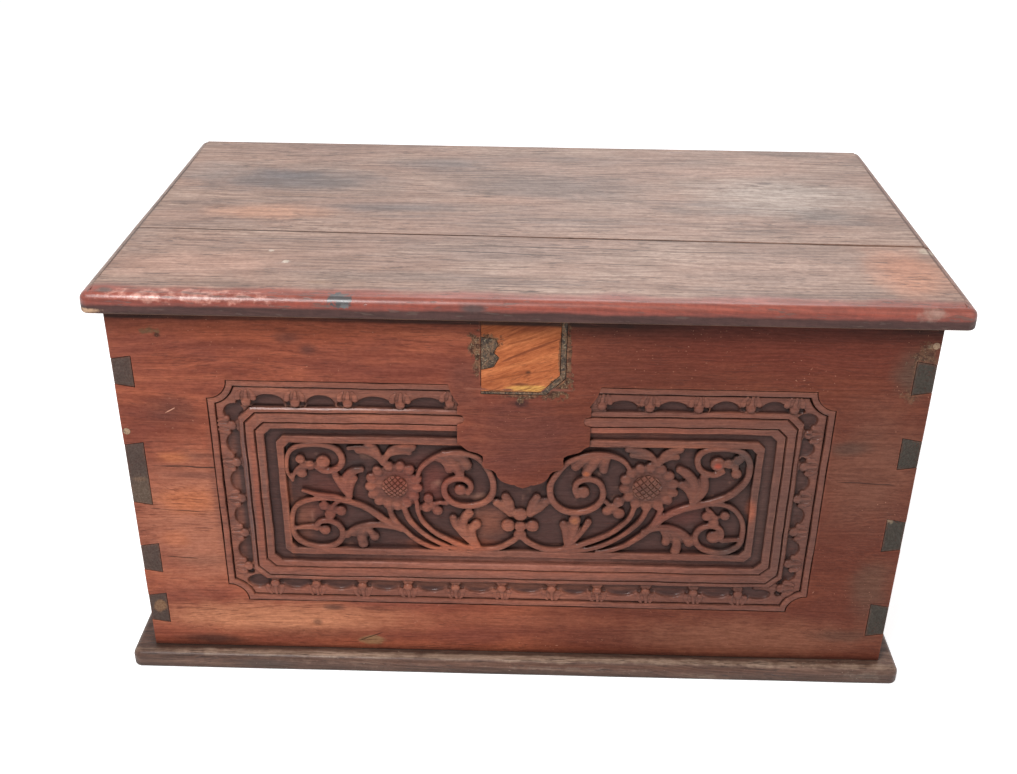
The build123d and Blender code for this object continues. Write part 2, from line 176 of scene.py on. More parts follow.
# Effects shared by the finishes. The grain's patterns, per metre along and across the grain
grainScales = {
    "sway": (3.4, 13.0, 13.0), "streak": (14.0, 520.0, 520.0), "dash": (48.0, 700.0, 700.0),
    "mottle": (160.0, 420.0, 420.0), "crowd": (7.0, 34.0, 34.0), "drift": (5.0, 24.0, 24.0),
    "blotch": (12.0, 24.0, 24.0), "fleck": 520.0, "fleckCrowd": 16.0,
}


def inputs(*labels, **values):
    # Sockets into a group: the place, other vectors by their names, then those that have a first value
    kinds = [("Place", "NodeSocketVector", None)] + [(label, "NodeSocketVector", None) for label in labels]
    for label, value in values.items():
        kinds.append((label, "NodeSocketFloat" if isinstance(value, float) else "NodeSocketVector", value))
    return kinds


def masks(*labels):
    # Sockets out of a group
    return [(label, "NodeSocketFloat") for label in labels]


def buildGrain():
    # Flat-sawn hardwood, the grain along X: rings, long streaks, short dark dashes, slow drift, blotches
    tree, given, out = newGroup(
        "boardGrain", inputs(RingWidth=0.006, PithDepth=0.06, PithTilt=0.05, Sway=0.01, Fine=1.0),
        masks("Rings", "Streaks", "Dashes", "Mottle", "Drift", "Blotches", "Flecks"))

    def pattern(vector, label, detail, roughness):
        return cloud(tree, vectors(tree, "MULTIPLY", vector, grainScales[label]), 1.0, detail, roughness)

    place = given["Place"]
    split = addNode(tree, "ShaderNodeSeparateXYZ")
    put(tree, split.inputs[0], place)
    x, y, z = split.outputs
    slow = pattern(place, "sway", 2.0, 0.55)
    sway = maths(tree, "MULTIPLY", maths(tree, "SUBTRACT", slow, 0.5), given["Sway"])
    across = maths(tree, "ADD", y, sway)
    down = maths(tree, "ADD", z, maths(tree, "MULTIPLY_ADD", x, given["PithTilt"], given["PithDepth"]))
    down = maths(tree, "ADD", down, maths(tree, "MULTIPLY", sway, 1.5))
    ring = maths(tree, "SQRT", maths(tree, "ADD", maths(tree, "MULTIPLY", across, across),
                                     maths(tree, "MULTIPLY", down, down)))
    saw = maths(tree, "FRACT", maths(tree, "DIVIDE", ring, given["RingWidth"]))
    rings = spread(tree, maths(tree, "PINGPONG", maths(tree, "POWER", saw, 1.7), 0.5), 0.05, 0.5)
    # The fine grain follows the same sway, so that streaks bend round the knots of colour
    bent = addNode(tree, "ShaderNodeCombineXYZ")
    for socket, value in zip(bent.inputs, (x, across, down)):
        put(tree, socket, value)
    bent = bent.outputs[0]
    fine = addNode(tree, "ShaderNodeCombineXYZ")
    for socket, value in zip(fine.inputs, (1.0, given["Fine"], given["Fine"])):
        put(tree, socket, value)
    thin = vectors(tree, "MULTIPLY", bent, fine.outputs[0])
    streak = pattern(thin, "streak", 4.0, 0.7)
    dash = pattern(thin, "dash", 2.0, 0.6)
    mottle = pattern(thin, "mottle", 4.0, 0.75)
    # Dashes and flecks crowd together in places
    crowd = maths(tree, "SUBTRACT", pattern(bent, "crowd", 2.0, 0.6), 0.5)
    dash = maths(tree, "MULTIPLY_ADD", crowd, 0.34, dash)
    crowd = maths(tree, "SUBTRACT", cloud(tree, place, grainScales["fleckCrowd"], 2.0, 0.6), 0.5)
    fleck = maths(tree, "MULTIPLY_ADD", crowd, 0.25, cloud(tree, place, grainScales["fleck"], 1.0, 0.5))
    drift = pattern(bent, "drift", 5.0, 0.6)
    blotch = pattern(place, "blotch", 5.0, 0.62)
    put(tree, out["Rings"], rings)
    for label, value, low, high in (
            ("Streaks", streak, 0.36, 0.64), ("Dashes", dash, 0.61, 0.68), ("Mottle", mottle, 0.38, 0.62),
            ("Flecks", fleck, 0.77, 0.81), ("Drift", drift, 0.32, 0.68), ("Blotches", blotch, 0.35, 0.65)):
        put(tree, out[label], spread(tree, value, low, high))
    return tree


def buildSpot():
    # A soft-edged ragged patch about a centre
    tree, given, out = newGroup(
        "spot", inputs("Centre", Reach=(0.05, 0.05, 0.05), Edge=0.5, Ragged=0.4, Grit=60.0), masks("Mask"))
    offset = vectors(tree, "DIVIDE", vectors(tree, "SUBTRACT", given["Place"], given["Centre"]), given["Reach"])
    rough = cloud(tree, given["Place"], given["Grit"], 3.0, 0.6)
    rough = maths(tree, "MULTIPLY", maths(tree, "SUBTRACT", rough, 0.5), given["Ragged"])
    far = maths(tree, "ADD", vectors(tree, "LENGTH", offset), rough)
    inner = maths(tree, "SUBTRACT", 1.0, given["Edge"])
    put(tree, out["Mask"], spread(tree, far, 1.0, inner))
    return tree


def buildZone():
    # All that lies beyond a level along one direction, with a wandering edge
    tree, given, out = newGroup(
        "zone", inputs(Way=(1.0, 0.0, 0.0), From=0.0, To=0.1, Ragged=0.0, Grit=40.0), masks("Mask"))
    level = vectors(tree, "DOT_PRODUCT", given["Place"], given["Way"])
    rough = maths(tree, "SUBTRACT", cloud(tree, given["Place"], given["Grit"], 3.0, 0.6), 0.5)
    level = maths(tree, "MULTIPLY_ADD", rough, given["Ragged"], level)
    put(tree, out["Mask"], spread(tree, level, given["From"], given["To"]))
    return tree


def buildCrack():
    # A thin wandering line between two points
    tree, given, out = newGroup("crack", inputs("Start", "End", Width=0.001, Wander=0.002), masks("Mask"))
    way = vectors(tree, "SUBTRACT", given["End"], given["Start"])
    offset = vectors(tree, "SUBTRACT", given["Place"], given["Start"])
    along = maths(tree, "DIVIDE", vectors(tree, "DOT_PRODUCT", offset, way),
                  vectors(tree, "DOT_PRODUCT", way, way))
    along = maths(tree, "MINIMUM", maths(tree, "MAXIMUM", along, 0.0), 1.0)
    nearest = vectors(tree, "SUBTRACT", offset, vectors(tree, "SCALE", way, scale=along))
    wave = cloud(tree, vectors(tree, "MULTIPLY", given["Place"], (30.0, 8.0, 8.0)), 1.0, 2.0, 0.5)
    wave = maths(tree, "MULTIPLY", maths(tree, "SUBTRACT", wave, 0.5), given["Wander"])
    shift = addNode(tree, "ShaderNodeCombineXYZ")
    put(tree, shift.inputs[1], wave)
    put(tree, shift.inputs[2], wave)
    far = vectors(tree, "LENGTH", vectors(tree, "ADD", nearest, shift.outputs[0]))
    thin = maths(tree, "PINGPONG", along, 0.5)
    reach = maths(tree, "MULTIPLY", given["Width"], spread(tree, thin, 0.0, 0.25, 0.3, 1.0))
    put(tree, out["Mask"], spread(tree, far, reach, maths(tree, "MULTIPLY", reach, 0.4)))
    return tree


def buildHollowsAndEdges():
    # Dirt and painted shade where surfaces close in; wear where they stand free, which on the carving also stands for
    # painted highlights
    tree, given, out = newGroup(
        "hollowsAndEdges", inputs(HollowReach=0.008, EdgeReach=0.003, Grit=90.0), masks("Hollow", "Edge"))
    near = addNode(tree, "ShaderNodeAmbientOcclusion", samples=6, inside=False, only_local=False)
    put(tree, near.inputs["Distance"], given["HollowReach"])
    free = addNode(tree, "ShaderNodeAmbientOcclusion", samples=4, inside=True, only_local=True)
    put(tree, free.inputs["Distance"], given["EdgeReach"])
    patchy = cloud(tree, given["Place"], given["Grit"], 3.0, 0.65)
    hollow = maths(tree, "SUBTRACT", 1.0, near.outputs["AO"])
    hollow = maths(tree, "MULTIPLY", hollow, spread(tree, patchy, 0.2, 0.6, 0.75, 1.2), clamp=True)
    edge = maths(tree, "SUBTRACT", 1.0, free.outputs["AO"])
    edge = maths(tree, "MULTIPLY", edge, spread(tree, patchy, 0.35, 0.6), clamp=True)
    put(tree, out["Hollow"], hollow)
    put(tree, out["Edge"], edge)
    return tree


def buildInside():
    # One inside a box, nought outside it
    tree, given, out = newGroup("insideBox", inputs("Centre", Half=(0.1, 0.1, 0.1)), masks("Mask"))
    offset = vectors(tree, "ABSOLUTE", vectors(tree, "SUBTRACT", given["Place"], given["Centre"]))
    split = addNode(tree, "ShaderNodeSeparateXYZ")
    put(tree, split.inputs[0], vectors(tree, "SUBTRACT", offset, given["Half"]))
    most = maths(tree, "MAXIMUM", maths(tree, "MAXIMUM", split.outputs[0], split.outputs[1]), split.outputs[2])
    put(tree, out["Mask"], maths(tree, "LESS_THAN", most, 0.0))
    return tree


def buildFiller():
    # Rough mottled filler: a slow tone, and pale specks
    tree, given, out = newGroup("fillerTone", inputs(), masks("Tone", "Specks"))
    tone = cloud(tree, given["Place"], 230.0, 4.0, 0.7, 0.6)
    specks = cloud(tree, given["Place"], 620.0, 2.0, 0.6)
    put(tree, out["Tone"], spread(tree, tone, 0.36, 0.64))
    put(tree, out["Specks"], spread(tree, specks, 0.60, 0.68))
    return tree


grainGroup = buildGrain()
fillerGroup = buildFiller()
spotGroup = buildSpot()
zoneGroup = buildZone()
crackGroup = buildCrack()
hollowsAndEdgesGroup = buildHollowsAndEdges()
insideGroup = buildInside()
print("effect groups built")


# Wood finishes
def newFinish(name):
    finish = bpy.data.materials.new(name)
    finish.use_nodes = True
    tree = finish.node_tree
    place = addNode(tree, "ShaderNodeTexCoord").outputs["Object"]
    return finish, tree, tree.nodes["Principled BSDF"], place


def closeFinish(tree, shader, colour, rough, height, bump, distance=0.0004):
    lift = addNode(tree, "ShaderNodeBump")
    lift.inputs["Strength"].default_value = bump
    lift.inputs["Distance"].default_value = distance
    put(tree, lift.inputs["Height"], height)
    put(tree, shader.inputs["Base Color"], colour)
    put(tree, shader.inputs["Roughness"], rough)
    put(tree, shader.inputs["Normal"], lift.outputs[0])


def fillerColour(tree, place):
    filler = useGroup(tree, fillerGroup, Place=place)
    colour = ramp(tree, filler["Tone"], [(0.1, paint(*putty["dark"])), (0.5, paint(*putty["middle"])),
                                         (0.9, paint(*putty["light"]))])
    return mixColours(tree, maths(tree, "MULTIPLY", filler["Specks"], 0.8), colour, paint(*putty["speck"]))


# What all the woods share: how strongly each effect colours, roughens, raises or sinks the surface
surface = {
    "mottle": (196, 184, 180), "mottleShare": 0.45, "fleckShare": 0.6, "streakRough": 0.10, "streakSunk": 0.35,
    "crackSunk": 2.5, "smearRaised": 1.6, "smearRough": 0.3, "hollowRough": 0.25, "edgeRough": -0.10,
    "bareRough": 0.25, "bareStreak": 0.35, "bareDash": 0.5, "dents": 0.8, "dentScale": 160.0,
}


def woodFinish(name, wood):
    finish, tree, shader, place = newFinish(name)

    def over(below, mask, share, shade, blend="MIX"):
        # Lays a shade over a colour through a mask
        return mixColours(tree, maths(tree, "MULTIPLY", mask, share), below, paint(*shade), blend)

    turned = addNode(tree, "ShaderNodeMapping", vector_type="TEXTURE")
    put(tree, turned.inputs["Vector"], place)
    turned.inputs["Location"].default_value = wood.get("shift", (0.0, 0.0, 0.0))
    turned.inputs["Rotation"].default_value = [math.radians(a) for a in wood.get("turn", (0.0, 0.0, 0.0))]
    grain = useGroup(tree, grainGroup, Place=turned.outputs[0], RingWidth=wood["ringWidth"],
                     PithDepth=wood["pithDepth"], PithTilt=wood["pithTilt"], Sway=wood["sway"],
                     Fine=wood.get("fine", 1.0))
    hollowsAndEdges = useGroup(tree, hollowsAndEdgesGroup, Place=place, HollowReach=wood["shadeAndDirtReach"], EdgeReach=wood["edgeReach"],
                   Grit=wood.get("grit", 90.0))
    # Body colour from the rings and the slow drift, then blotches, marks, streaks and dashes over it
    tone = maths(tree, "MULTIPLY_ADD", grain["Rings"], wood["ringShare"],
                 maths(tree, "MULTIPLY", grain["Drift"], 1.0 - wood["ringShare"]))
    colour = ramp(tree, tone, [(0.0, paint(*wood["dark"])), (0.5, paint(*wood["middle"])),
                               (1.0, paint(*wood["light"]))])
    colour = over(colour, grain["Blotches"], wood["blotchShare"], wood["blotch"])
    rough = maths(tree, "MULTIPLY_ADD", grain["Streaks"], surface["streakRough"], wood["roughness"])
    height = maths(tree, "MULTIPLY", grain["Streaks"], -surface["streakSunk"])
    height = maths(tree, "MULTIPLY_ADD", grain["Dashes"], -1.0, height)
    coat = wood["coat"]
    for mark in wood.get("spots", ()):
        if "way" in mark:
            mask = useGroup(tree, zoneGroup, Place=place, Way=mark["way"], From=mark["low"], To=mark["high"],
                            Ragged=mark.get("ragged", 0.0), Grit=mark.get("grit", 40.0))["Mask"]
        else:
            mask = useGroup(tree, spotGroup, Place=place, Centre=mark["centre"], Reach=mark["reach"],
                            Edge=mark.get("edge", 0.8), Ragged=mark.get("ragged", 0.6),
                            Grit=mark.get("grit", 40.0))["Mask"]
        mask = maths(tree, "MULTIPLY", mask, mark["share"])
        colour = mixColours(tree, mask, colour, paint(*mark["colour"]))
        if "rough" in mark:
            rough = maths(tree, "MULTIPLY_ADD", mask, mark["rough"], rough)
        if "sunk" in mark:
            height = maths(tree, "MULTIPLY_ADD", mask, -mark["sunk"], height)
        if "coat" in mark:
            coat = maths(tree, "MULTIPLY_ADD", mask, mark["coat"], coat)
    colour = over(colour, grain["Streaks"], wood["streakShare"], wood["streak"], "MULTIPLY")
    colour = over(colour, grain["Mottle"], surface["mottleShare"], surface["mottle"], "MULTIPLY")
    colour = over(colour, grain["Dashes"], wood["dashShare"], wood["dash"])
    if "fleck" in wood:
        colour = over(colour, grain["Flecks"], surface["fleckShare"], wood["fleck"])
    if "smears" in wood:
        filler = fillerColour(tree, place)
        for centre, reach, share in wood["smears"]:
            mask = useGroup(tree, spotGroup, Place=place, Centre=centre, Reach=reach, Edge=0.35, Ragged=2.2,
                            Grit=190.0)["Mask"]
            mask = maths(tree, "MULTIPLY", mask, share)
            colour = mixColours(tree, mask, colour, filler)
            rough = maths(tree, "MULTIPLY_ADD", mask, surface["smearRough"], rough)
            height = maths(tree, "MULTIPLY_ADD", mask, surface["smearRaised"], height)
    for line in wood.get("cracks", ()):
        mask = useGroup(tree, crackGroup, Place=place, Start=line["start"], End=line["end"],
                        Width=line["width"], Wander=line["wander"])["Mask"]
        colour = over(colour, mask, line["share"], line["colour"])
        height = maths(tree, "MULTIPLY_ADD", mask, -surface["crackSunk"], height)
    if "inside" in wood:
        inner = wood["inside"]
        mask = useGroup(tree, insideGroup, Place=place, Centre=inner["centre"], Half=inner["half"])["Mask"]
        bare = ramp(tree, tone, [(0.0, paint(*inner["dark"])), (1.0, paint(*inner["light"]))])
        bare = over(bare, grain["Streaks"], surface["bareStreak"], inner["streak"])
        bare = over(bare, grain["Dashes"], surface["bareDash"], inner["streak"])
        colour = mixColours(tree, mask, colour, bare)
        rough = maths(tree, "MULTIPLY_ADD", mask, surface["bareRough"], rough)
    # Lighter along free edges: wear, and on the carving painted highlights along the crests
    colour = over(colour, hollowsAndEdges["Edge"], wood["wearAndHighlightShare"], wood["wearAndHighlight"])
    # Darker where surfaces close in: dirt and painted shade, and under the lid's overhang a painted shadow
    colour = over(colour, hollowsAndEdges["Hollow"], wood["shadeAndDirtShare"], wood["shadeAndDirt"])
    rough = maths(tree, "MULTIPLY_ADD", hollowsAndEdges["Hollow"], surface["hollowRough"], rough)
    rough = maths(tree, "MULTIPLY_ADD", hollowsAndEdges["Edge"], surface["edgeRough"], rough, clamp=True)
    dents = cloud(tree, place, surface["dentScale"], 4.0, 0.6)
    height = maths(tree, "MULTIPLY_ADD", dents, surface["dents"], height)
    closeFinish(tree, shader, colour, rough, height, wood["bump"])
    shader.inputs["Specular IOR Level"].default_value = wood["specular"]
    put(tree, shader.inputs["Coat Weight"], coat)
    shader.inputs["Coat Roughness"].default_value = wood["coatRough"]
    return finish


# Marks on wood: soft-edged patches (middle, reach in millimetres), zones (all beyond a level along one way)
# and cracks (from, to, width in millimetres), each with its colour and how much of it covers the wood. Most are
# stains; a few are painted shadows under the lid and a painted highlight on the lid's front rounding
def softPatch(centre, reach, colour, share, **more):
    return dict(more, centre=centre, reach=[value / 1000 for value in reach], colour=colour, share=share)


def zone(way, low, high, colour, share, **more):
    return dict(more, way=way, low=low, high=high, colour=colour, share=share)


def crack(start, end, width, colour=(38, 24, 20), share=0.85, wander=0.003):
    return {"start": start, "end": end, "width": width / 1000, "colour": colour, "share": share, "wander": wander}


putty = {"dark": (50, 38, 31), "middle": (86, 68, 53), "light": (118, 88, 66), "speck": (150, 136, 110),
         "lumps": 130.0, "grains": 520.0}
# Bare wood inside the chest and under the lid: the box in which it shows, and its colours
chestInside = {
    "centre": (0.0, 0.0005, 0.203), "half": (0.3434, 0.1814, 0.1860),
    "dark": (118, 84, 62), "light": (158, 120, 92), "streak": (88, 60, 45),
}
lidUnder = {
    "centre": (0.0, 0.0, lidLow.z), "half": (1.0, 1.0, 0.0012),
    "dark": (96, 66, 50), "light": (140, 102, 78), "streak": (72, 48, 37),
}

lidWood = {
    "ringWidth": 0.0065, "pithDepth": -0.375, "pithTilt": 0.045, "sway": 0.024, "ringShare": 0.35, "fine": 0.45,
    "dark": (130, 107, 98), "middle": (164, 135, 120), "light": (190, 160, 143),
    "blotch": (180, 140, 121), "blotchShare": 0.45,
    "streak": (146, 134, 128), "streakShare": 0.5, "dash": (84, 64, 57), "dashShare": 0.65,
    "roughness": 0.42, "shadeAndDirtReach": 0.003, "edgeReach": 0.003, "specular": 0.38,
    "wearAndHighlight": (168, 128, 108), "wearAndHighlightShare": 0.3, "shadeAndDirt": (50, 36, 32), "shadeAndDirtShare": 0.6,
    "bump": 0.6, "coat": 0.08, "coatRough": 0.34, "inside": lidUnder,
    "spots": [
        # Bluish-grey and pale worn areas of the top
        softPatch(onLid(-240, 285), (140, 55, 20), (104, 97, 98), 0.75),
        softPatch(onLid(-255, 300), (60, 22, 20), (92, 88, 93), 0.5),
        softPatch(onLid(-95, 345), (85, 30, 20), (112, 102, 101), 0.6),
        softPatch(onLid(-130, 205), (110, 20, 20), (106, 96, 96), 0.62),
        softPatch(onLid(20, 270), (140, 60, 20), (124, 106, 99), 0.72),
        softPatch(onLid(-10, 90), (130, 35, 20), (140, 116, 106), 0.5),
        softPatch(onLid(-330, 310), (60, 50, 20), (158, 140, 132), 0.5),
        softPatch(onLid(265, 255), (140, 85, 20), (200, 182, 170), 0.7),
        softPatch(onLid(-290, 50), (120, 50, 20), (208, 164, 144), 0.55),
        softPatch(onLid(250, 60), (160, 60, 20), (198, 164, 146), 0.5),
        softPatch(onLid(300, 205), (50, 30, 20), (112, 100, 94), 0.5),
        softPatch(onLid(-250, 185), (85, 30, 20), (204, 152, 124), 0.75),
        softPatch(onLid(-20, 230), (90, 20, 20), (190, 146, 124), 0.45),
        softPatch(onLid(230, 340), (140, 30, 20), (192, 154, 136), 0.5),
        softPatch(onLid(340, 60), (50, 80, 20), (208, 142, 110), 0.75),
        softPatch(onLid(210, 45), (100, 20, 20), (136, 112, 102), 0.45),
        softPatch(onLid(-110, 30), (110, 20, 20), (118, 100, 92), 0.5),
        softPatch(onLid(252, 298), (13, 6, 20), (86, 62, 54), 0.75, edge=0.7),
        softPatch(onLid(315, 295), (10, 5, 20), (86, 62, 54), 0.7, edge=0.7),
        # Worn ends of the moulding
        zone((1.0, 0.0, 0.0), lidRight - 0.0085, lidRight - 0.0075, (132, 86, 68), 0.75, ragged=0.002, coat=0.25),
        zone((-1.0, 0.0, 0.0), -lidLeft - 0.0085, -lidLeft - 0.0075, (138, 112, 99), 0.8, ragged=0.002, coat=0.25),
        # Rubbed red band along the moulded front edge, darker beneath
        zone((0.0, -1.0, 0.0), -faceY - 0.006, -faceY + 0.008, (150, 62, 42), 0.9, ragged=0.02, grit=22.0,
             rough=-0.10, coat=0.30),
        zone((0.0, 0.0, -1.0), 0.0042 - lidTop, 0.0080 - lidTop, (132, 50, 34), 0.6, ragged=0.004, grit=30.0),
        # Painted highlight: pale broken streaks on the left of the front rounding, beside the real gloss of the coat
        softPatch((-0.285, -0.2085, 0.4035), (85, 10, 6), (226, 164, 146), 0.7, edge=0.8, ragged=2.6, grit=120.0,
              coat=0.7, sunk=1.6),
        softPatch((-0.07, -0.2085, 0.4035), (100, 8, 5), (160, 76, 54), 0.5, ragged=1.6, grit=60.0, coat=0.4),
        zone((0.0, 0.0, -1.0), 0.009 - lidTop, 0.0125 - lidTop, (64, 42, 39), 0.93, ragged=0.005, grit=24.0,
             rough=0.25, coat=-0.4),
        softPatch((-0.368, -0.2125, 0.3915), (20, 8, 2.6), (214, 176, 142), 0.8, edge=0.6, ragged=1.4, grit=140.0),
        softPatch((-0.376, -0.207, 0.398), (6, 8, 6), (206, 176, 156), 0.6, edge=0.6, ragged=2.0, grit=220.0),
        # Filled knots and stains along the front edge
        softPatch((-0.153, -0.209, 0.4035), (12.5, 9, 7), (44, 47, 49), 0.95, edge=0.3, ragged=2.0, grit=170.0,
              rough=-0.05, coat=0.5),
        softPatch((-0.149, -0.211, 0.4005), (6, 5, 3), (84, 88, 90), 0.8, edge=0.3, ragged=2.2, grit=210.0, coat=0.4),
        softPatch((-0.040, -0.213, 0.400), (16, 6, 5), (72, 60, 58), 0.8, edge=0.6),
        softPatch((-0.352, -0.205, 0.405), (12, 7, 6), (74, 66, 60), 0.75, edge=0.6),
        softPatch((0.342, -0.2125, 0.402), (16, 8, 8), (176, 150, 136), 0.6, edge=0.9, ragged=1.6, grit=150.0),
        # Whitish filler over the joint's right end, specks
        softPatch((0.370, faceY + 0.111, 0.406), (9, 9, 12), (206, 190, 172), 0.8, edge=0.5, ragged=1.2, grit=160.0,
              rough=0.25),
        softPatch(onLid(-229, 84), (3.5, 3, 20), (228, 212, 196), 0.9, edge=0.5, ragged=1.6, grit=300.0),
        softPatch(onLid(-211, 60), (4.5, 4, 20), (236, 222, 206), 0.95, edge=0.5, ragged=1.8, grit=300.0),
        softPatch(onLid(-176, 15), (13, 5, 20), (182, 150, 128), 0.6, edge=0.6),
    ],
    "cracks": [
        # The quirk of the moulding at both ends, and the joint of the planks
        crack((lidLeft + 0.0085, lidFrontY, lidTop - 0.001), (lidLeft + 0.0085, 0.21, lidTop - 0.001), 2.1,
              wander=0.001, share=0.75, colour=(66, 48, 42)),
        crack((lidRight - 0.0085, lidFrontY, lidTop - 0.001), (lidRight - 0.0085, 0.21, lidTop - 0.001), 2.1,
              wander=0.001, share=0.8, colour=(70, 36, 28)),
        crack((lidLeft, faceY + 0.1365, lidTop), (0.0, faceY + 0.1293, lidTop), 1.6, wander=0.001, share=0.85,
              colour=(60, 44, 38)),
        crack((-0.02, faceY + 0.1297, lidTop), (lidRight, faceY + 0.123, lidTop), 2.4, wander=0.001, share=0.9,
              colour=(40, 28, 25)),
        crack(onLid(-40, 106), onLid(132, 102), 1.1),
        crack(onLid(110, 100), onLid(215, 100), 0.8),
        crack(onLid(-100, 94), onLid(60, 84), 1),
        crack(onLid(20, 70), onLid(130, 66), 1, share=0.7),
        crack(onLid(-345, 330), onLid(-290, 322), 1, share=0.7),
        crack(onLid(-250, 232), onLid(-190, 230), 0.9, share=0.7),
        crack(onLid(-36, 6), onLid(20, 4), 1, share=0.8),
    ],
}

frontWood = {
    "shift": (0.13, 0.0, 0.05), "turn": (90.0, 0.0, 0.0),
    "ringWidth": 0.011, "pithDepth": 0.09, "pithTilt": 0.03, "sway": 0.034, "ringShare": 0.4,
    "dark": (134, 70, 52), "middle": (160, 88, 65), "light": (184, 106, 77),
    "blotch": (126, 68, 57), "blotchShare": 0.55,
    "streak": (164, 140, 132), "streakShare": 0.38, "dash": (84, 44, 35), "dashShare": 0.5, "fleck": (184, 130, 106),
    # Dirt and painted shade where surfaces close in, reaching down under the lid
    "roughness": 0.46, "shadeAndDirtReach": 0.006, "edgeReach": 0.0025, "specular": 0.12,
    "wearAndHighlight": (176, 104, 78), "wearAndHighlightShare": 0.35, "shadeAndDirt": (40, 25, 21), "shadeAndDirtShare": 1.0,
    "bump": 0.5, "coat": 0.03, "coatRough": 0.3, "inside": chestInside,
    "spots": [
        # The right half is darker; all that lies close under the lid gets a painted shadow
        zone((1.0, 0.0, 0.0), -0.10, 0.14, (96, 49, 36), 0.76, ragged=0.12, grit=7.0),
        softPatch(onFront(0, 250), (75, 30, 60), (104, 60, 53), 0.6, edge=0.7),
        # Painted shadow under the lid's overhang: a dark band along the top, wider to the right
        zone((0.0, 0.0, 1.0), 0.3755, 0.3785, (34, 20, 16), 0.9, ragged=0.002),
        softPatch(onFront(230, 361), (360, 30, 15), (44, 26, 21), 0.85),
        softPatch(onFront(-312, 268), (44, 30, 24), (86, 54, 50), 0.65, edge=0.95),
        softPatch(onFront(-296, 221), (24, 30, 6), (90, 56, 50), 0.6, edge=0.95),
        softPatch(onFront(-300, 104), (42, 30, 12), (94, 62, 54), 0.65, edge=0.95),
        softPatch(onFront(-250, 335), (50, 30, 8), (110, 58, 46), 0.5, edge=0.95),
        softPatch(onFront(-300, 150), (90, 30, 110), (192, 128, 102), 0.65),
        softPatch(onFront(-318, 219), (22, 20, 9), (204, 124, 82), 0.6),
        softPatch(onFront(-308, 172), (42, 20, 21), (208, 124, 82), 0.65),
        softPatch(onFront(-326, 128), (22, 20, 14), (200, 120, 84), 0.5),
        softPatch(onFront(-279, 180), (9, 20, 90), (112, 72, 63), 0.5),
        softPatch(onFront(-300, 200), (45, 20, 6), (116, 74, 65), 0.55),
        softPatch(onFront(-230, 36), (180, 30, 28), (212, 144, 108), 0.8),
        softPatch(onFront(-30, 40), (200, 30, 16), (168, 100, 74), 0.45),
        softPatch(onFront(-215, 350), (160, 30, 18), (172, 92, 62), 0.5),
        softPatch(onFront(225, 345), (200, 30, 50), (112, 52, 40), 0.6),
        softPatch(onFront(320, 220), (70, 30, 100), (130, 88, 72), 0.6),
        softPatch(onFront(230, 25), (180, 30, 35), (150, 98, 76), 0.65),
        softPatch(onFront(-185, 18), (140, 30, 10), (120, 62, 46), 0.5),
        # Smudges and stains
        softPatch(onFront(-203, 343), (18, 20, 9), (82, 52, 48), 0.6, edge=0.9),
        softPatch(onFront(-186, 332), (12, 20, 10), (78, 52, 50), 0.6, edge=0.9),
        softPatch(onFront(-178, 51), (16, 20, 5), (84, 62, 56), 0.65),
        softPatch(onFront(-300, 8), (50, 20, 9), (70, 50, 44), 0.75),
        softPatch(onFront(-196, 32), (7, 20, 6), (86, 56, 46), 0.6),
        softPatch(onFront(296, 244), (30, 20, 11), (80, 64, 56), 0.6),
        softPatch(onFront(344, 322), (28, 20, 35), (92, 80, 68), 0.6),
        softPatch(onFront(338, 90), (30, 20, 50), (104, 84, 70), 0.5),
        softPatch(onFront(320, 30), (50, 20, 12), (84, 64, 54), 0.5),
        softPatch(onFront(0, 283), (11, 20, 6), (62, 42, 42), 0.85, ragged=1.4, grit=120.0),
        softPatch(onFront(-50, 300), (22, 20, 40), (104, 64, 56), 0.5),
        softPatch(onFront(-322, 348), (11, 20, 4), (120, 96, 70), 0.8, edge=0.7, ragged=3.0, grit=190.0),
        softPatch(onFront(-316, 344), (4, 20, 3), (62, 44, 36), 0.8, ragged=2.0, grit=200.0),
        softPatch(onFront(-143, 11), (16, 20, 7), (158, 128, 92), 0.7, edge=0.4, ragged=0.8, grit=90.0),
        softPatch(onFront(352, 347), (4, 20, 4), (176, 158, 130), 0.8, ragged=1.6, grit=260.0),
        softPatch(onFront(345, 250), (4, 20, 5), (170, 150, 124), 0.7, ragged=1.6, grit=260.0),
    ],
    # Filler: middle, reach in metres, share
    "smears": [
        (onFront(-40, 338), (0.007, 0.02, 0.017), 0.85), (onFront(-38, 322), (0.005, 0.02, 0.012), 0.7),
        (onFront(41, 332), (0.0032, 0.02, 0.030), 0.8), (onFront(40, 306), (0.006, 0.02, 0.010), 0.8),
        (onFront(29, 296), (0.016, 0.02, 0.009), 0.85), (onFront(2, 291.5), (0.020, 0.02, 0.0038), 0.75),
        (onFront(0, 287), (0.004, 0.02, 0.005), 0.8),
        (onFront(348, 332), (0.012, 0.02, 0.018), 0.5), (onFront(342, 300), (0.010, 0.02, 0.008), 0.45),
    ],
    "cracks": [
        crack(onFront(-343, 210), onFront(-240, 208), 1),
        crack(onFront(-352, 163), onFront(-285, 159), 0.8, share=0.7),
        crack(onFront(-340, 108), onFront(-300, 106), 0.9, share=0.7),
        crack(onFront(250, 257), onFront(276, 257), 0.9),
        crack(onFront(-318, 266), onFront(-307, 272), 0.8, colour=(206, 150, 126)),
        crack(onFront(290, 208), onFront(352, 206), 0.8, share=0.7),
        crack(onFront(-160, 8), onFront(-129, 22), 0.9, share=0.7),
    ],
}
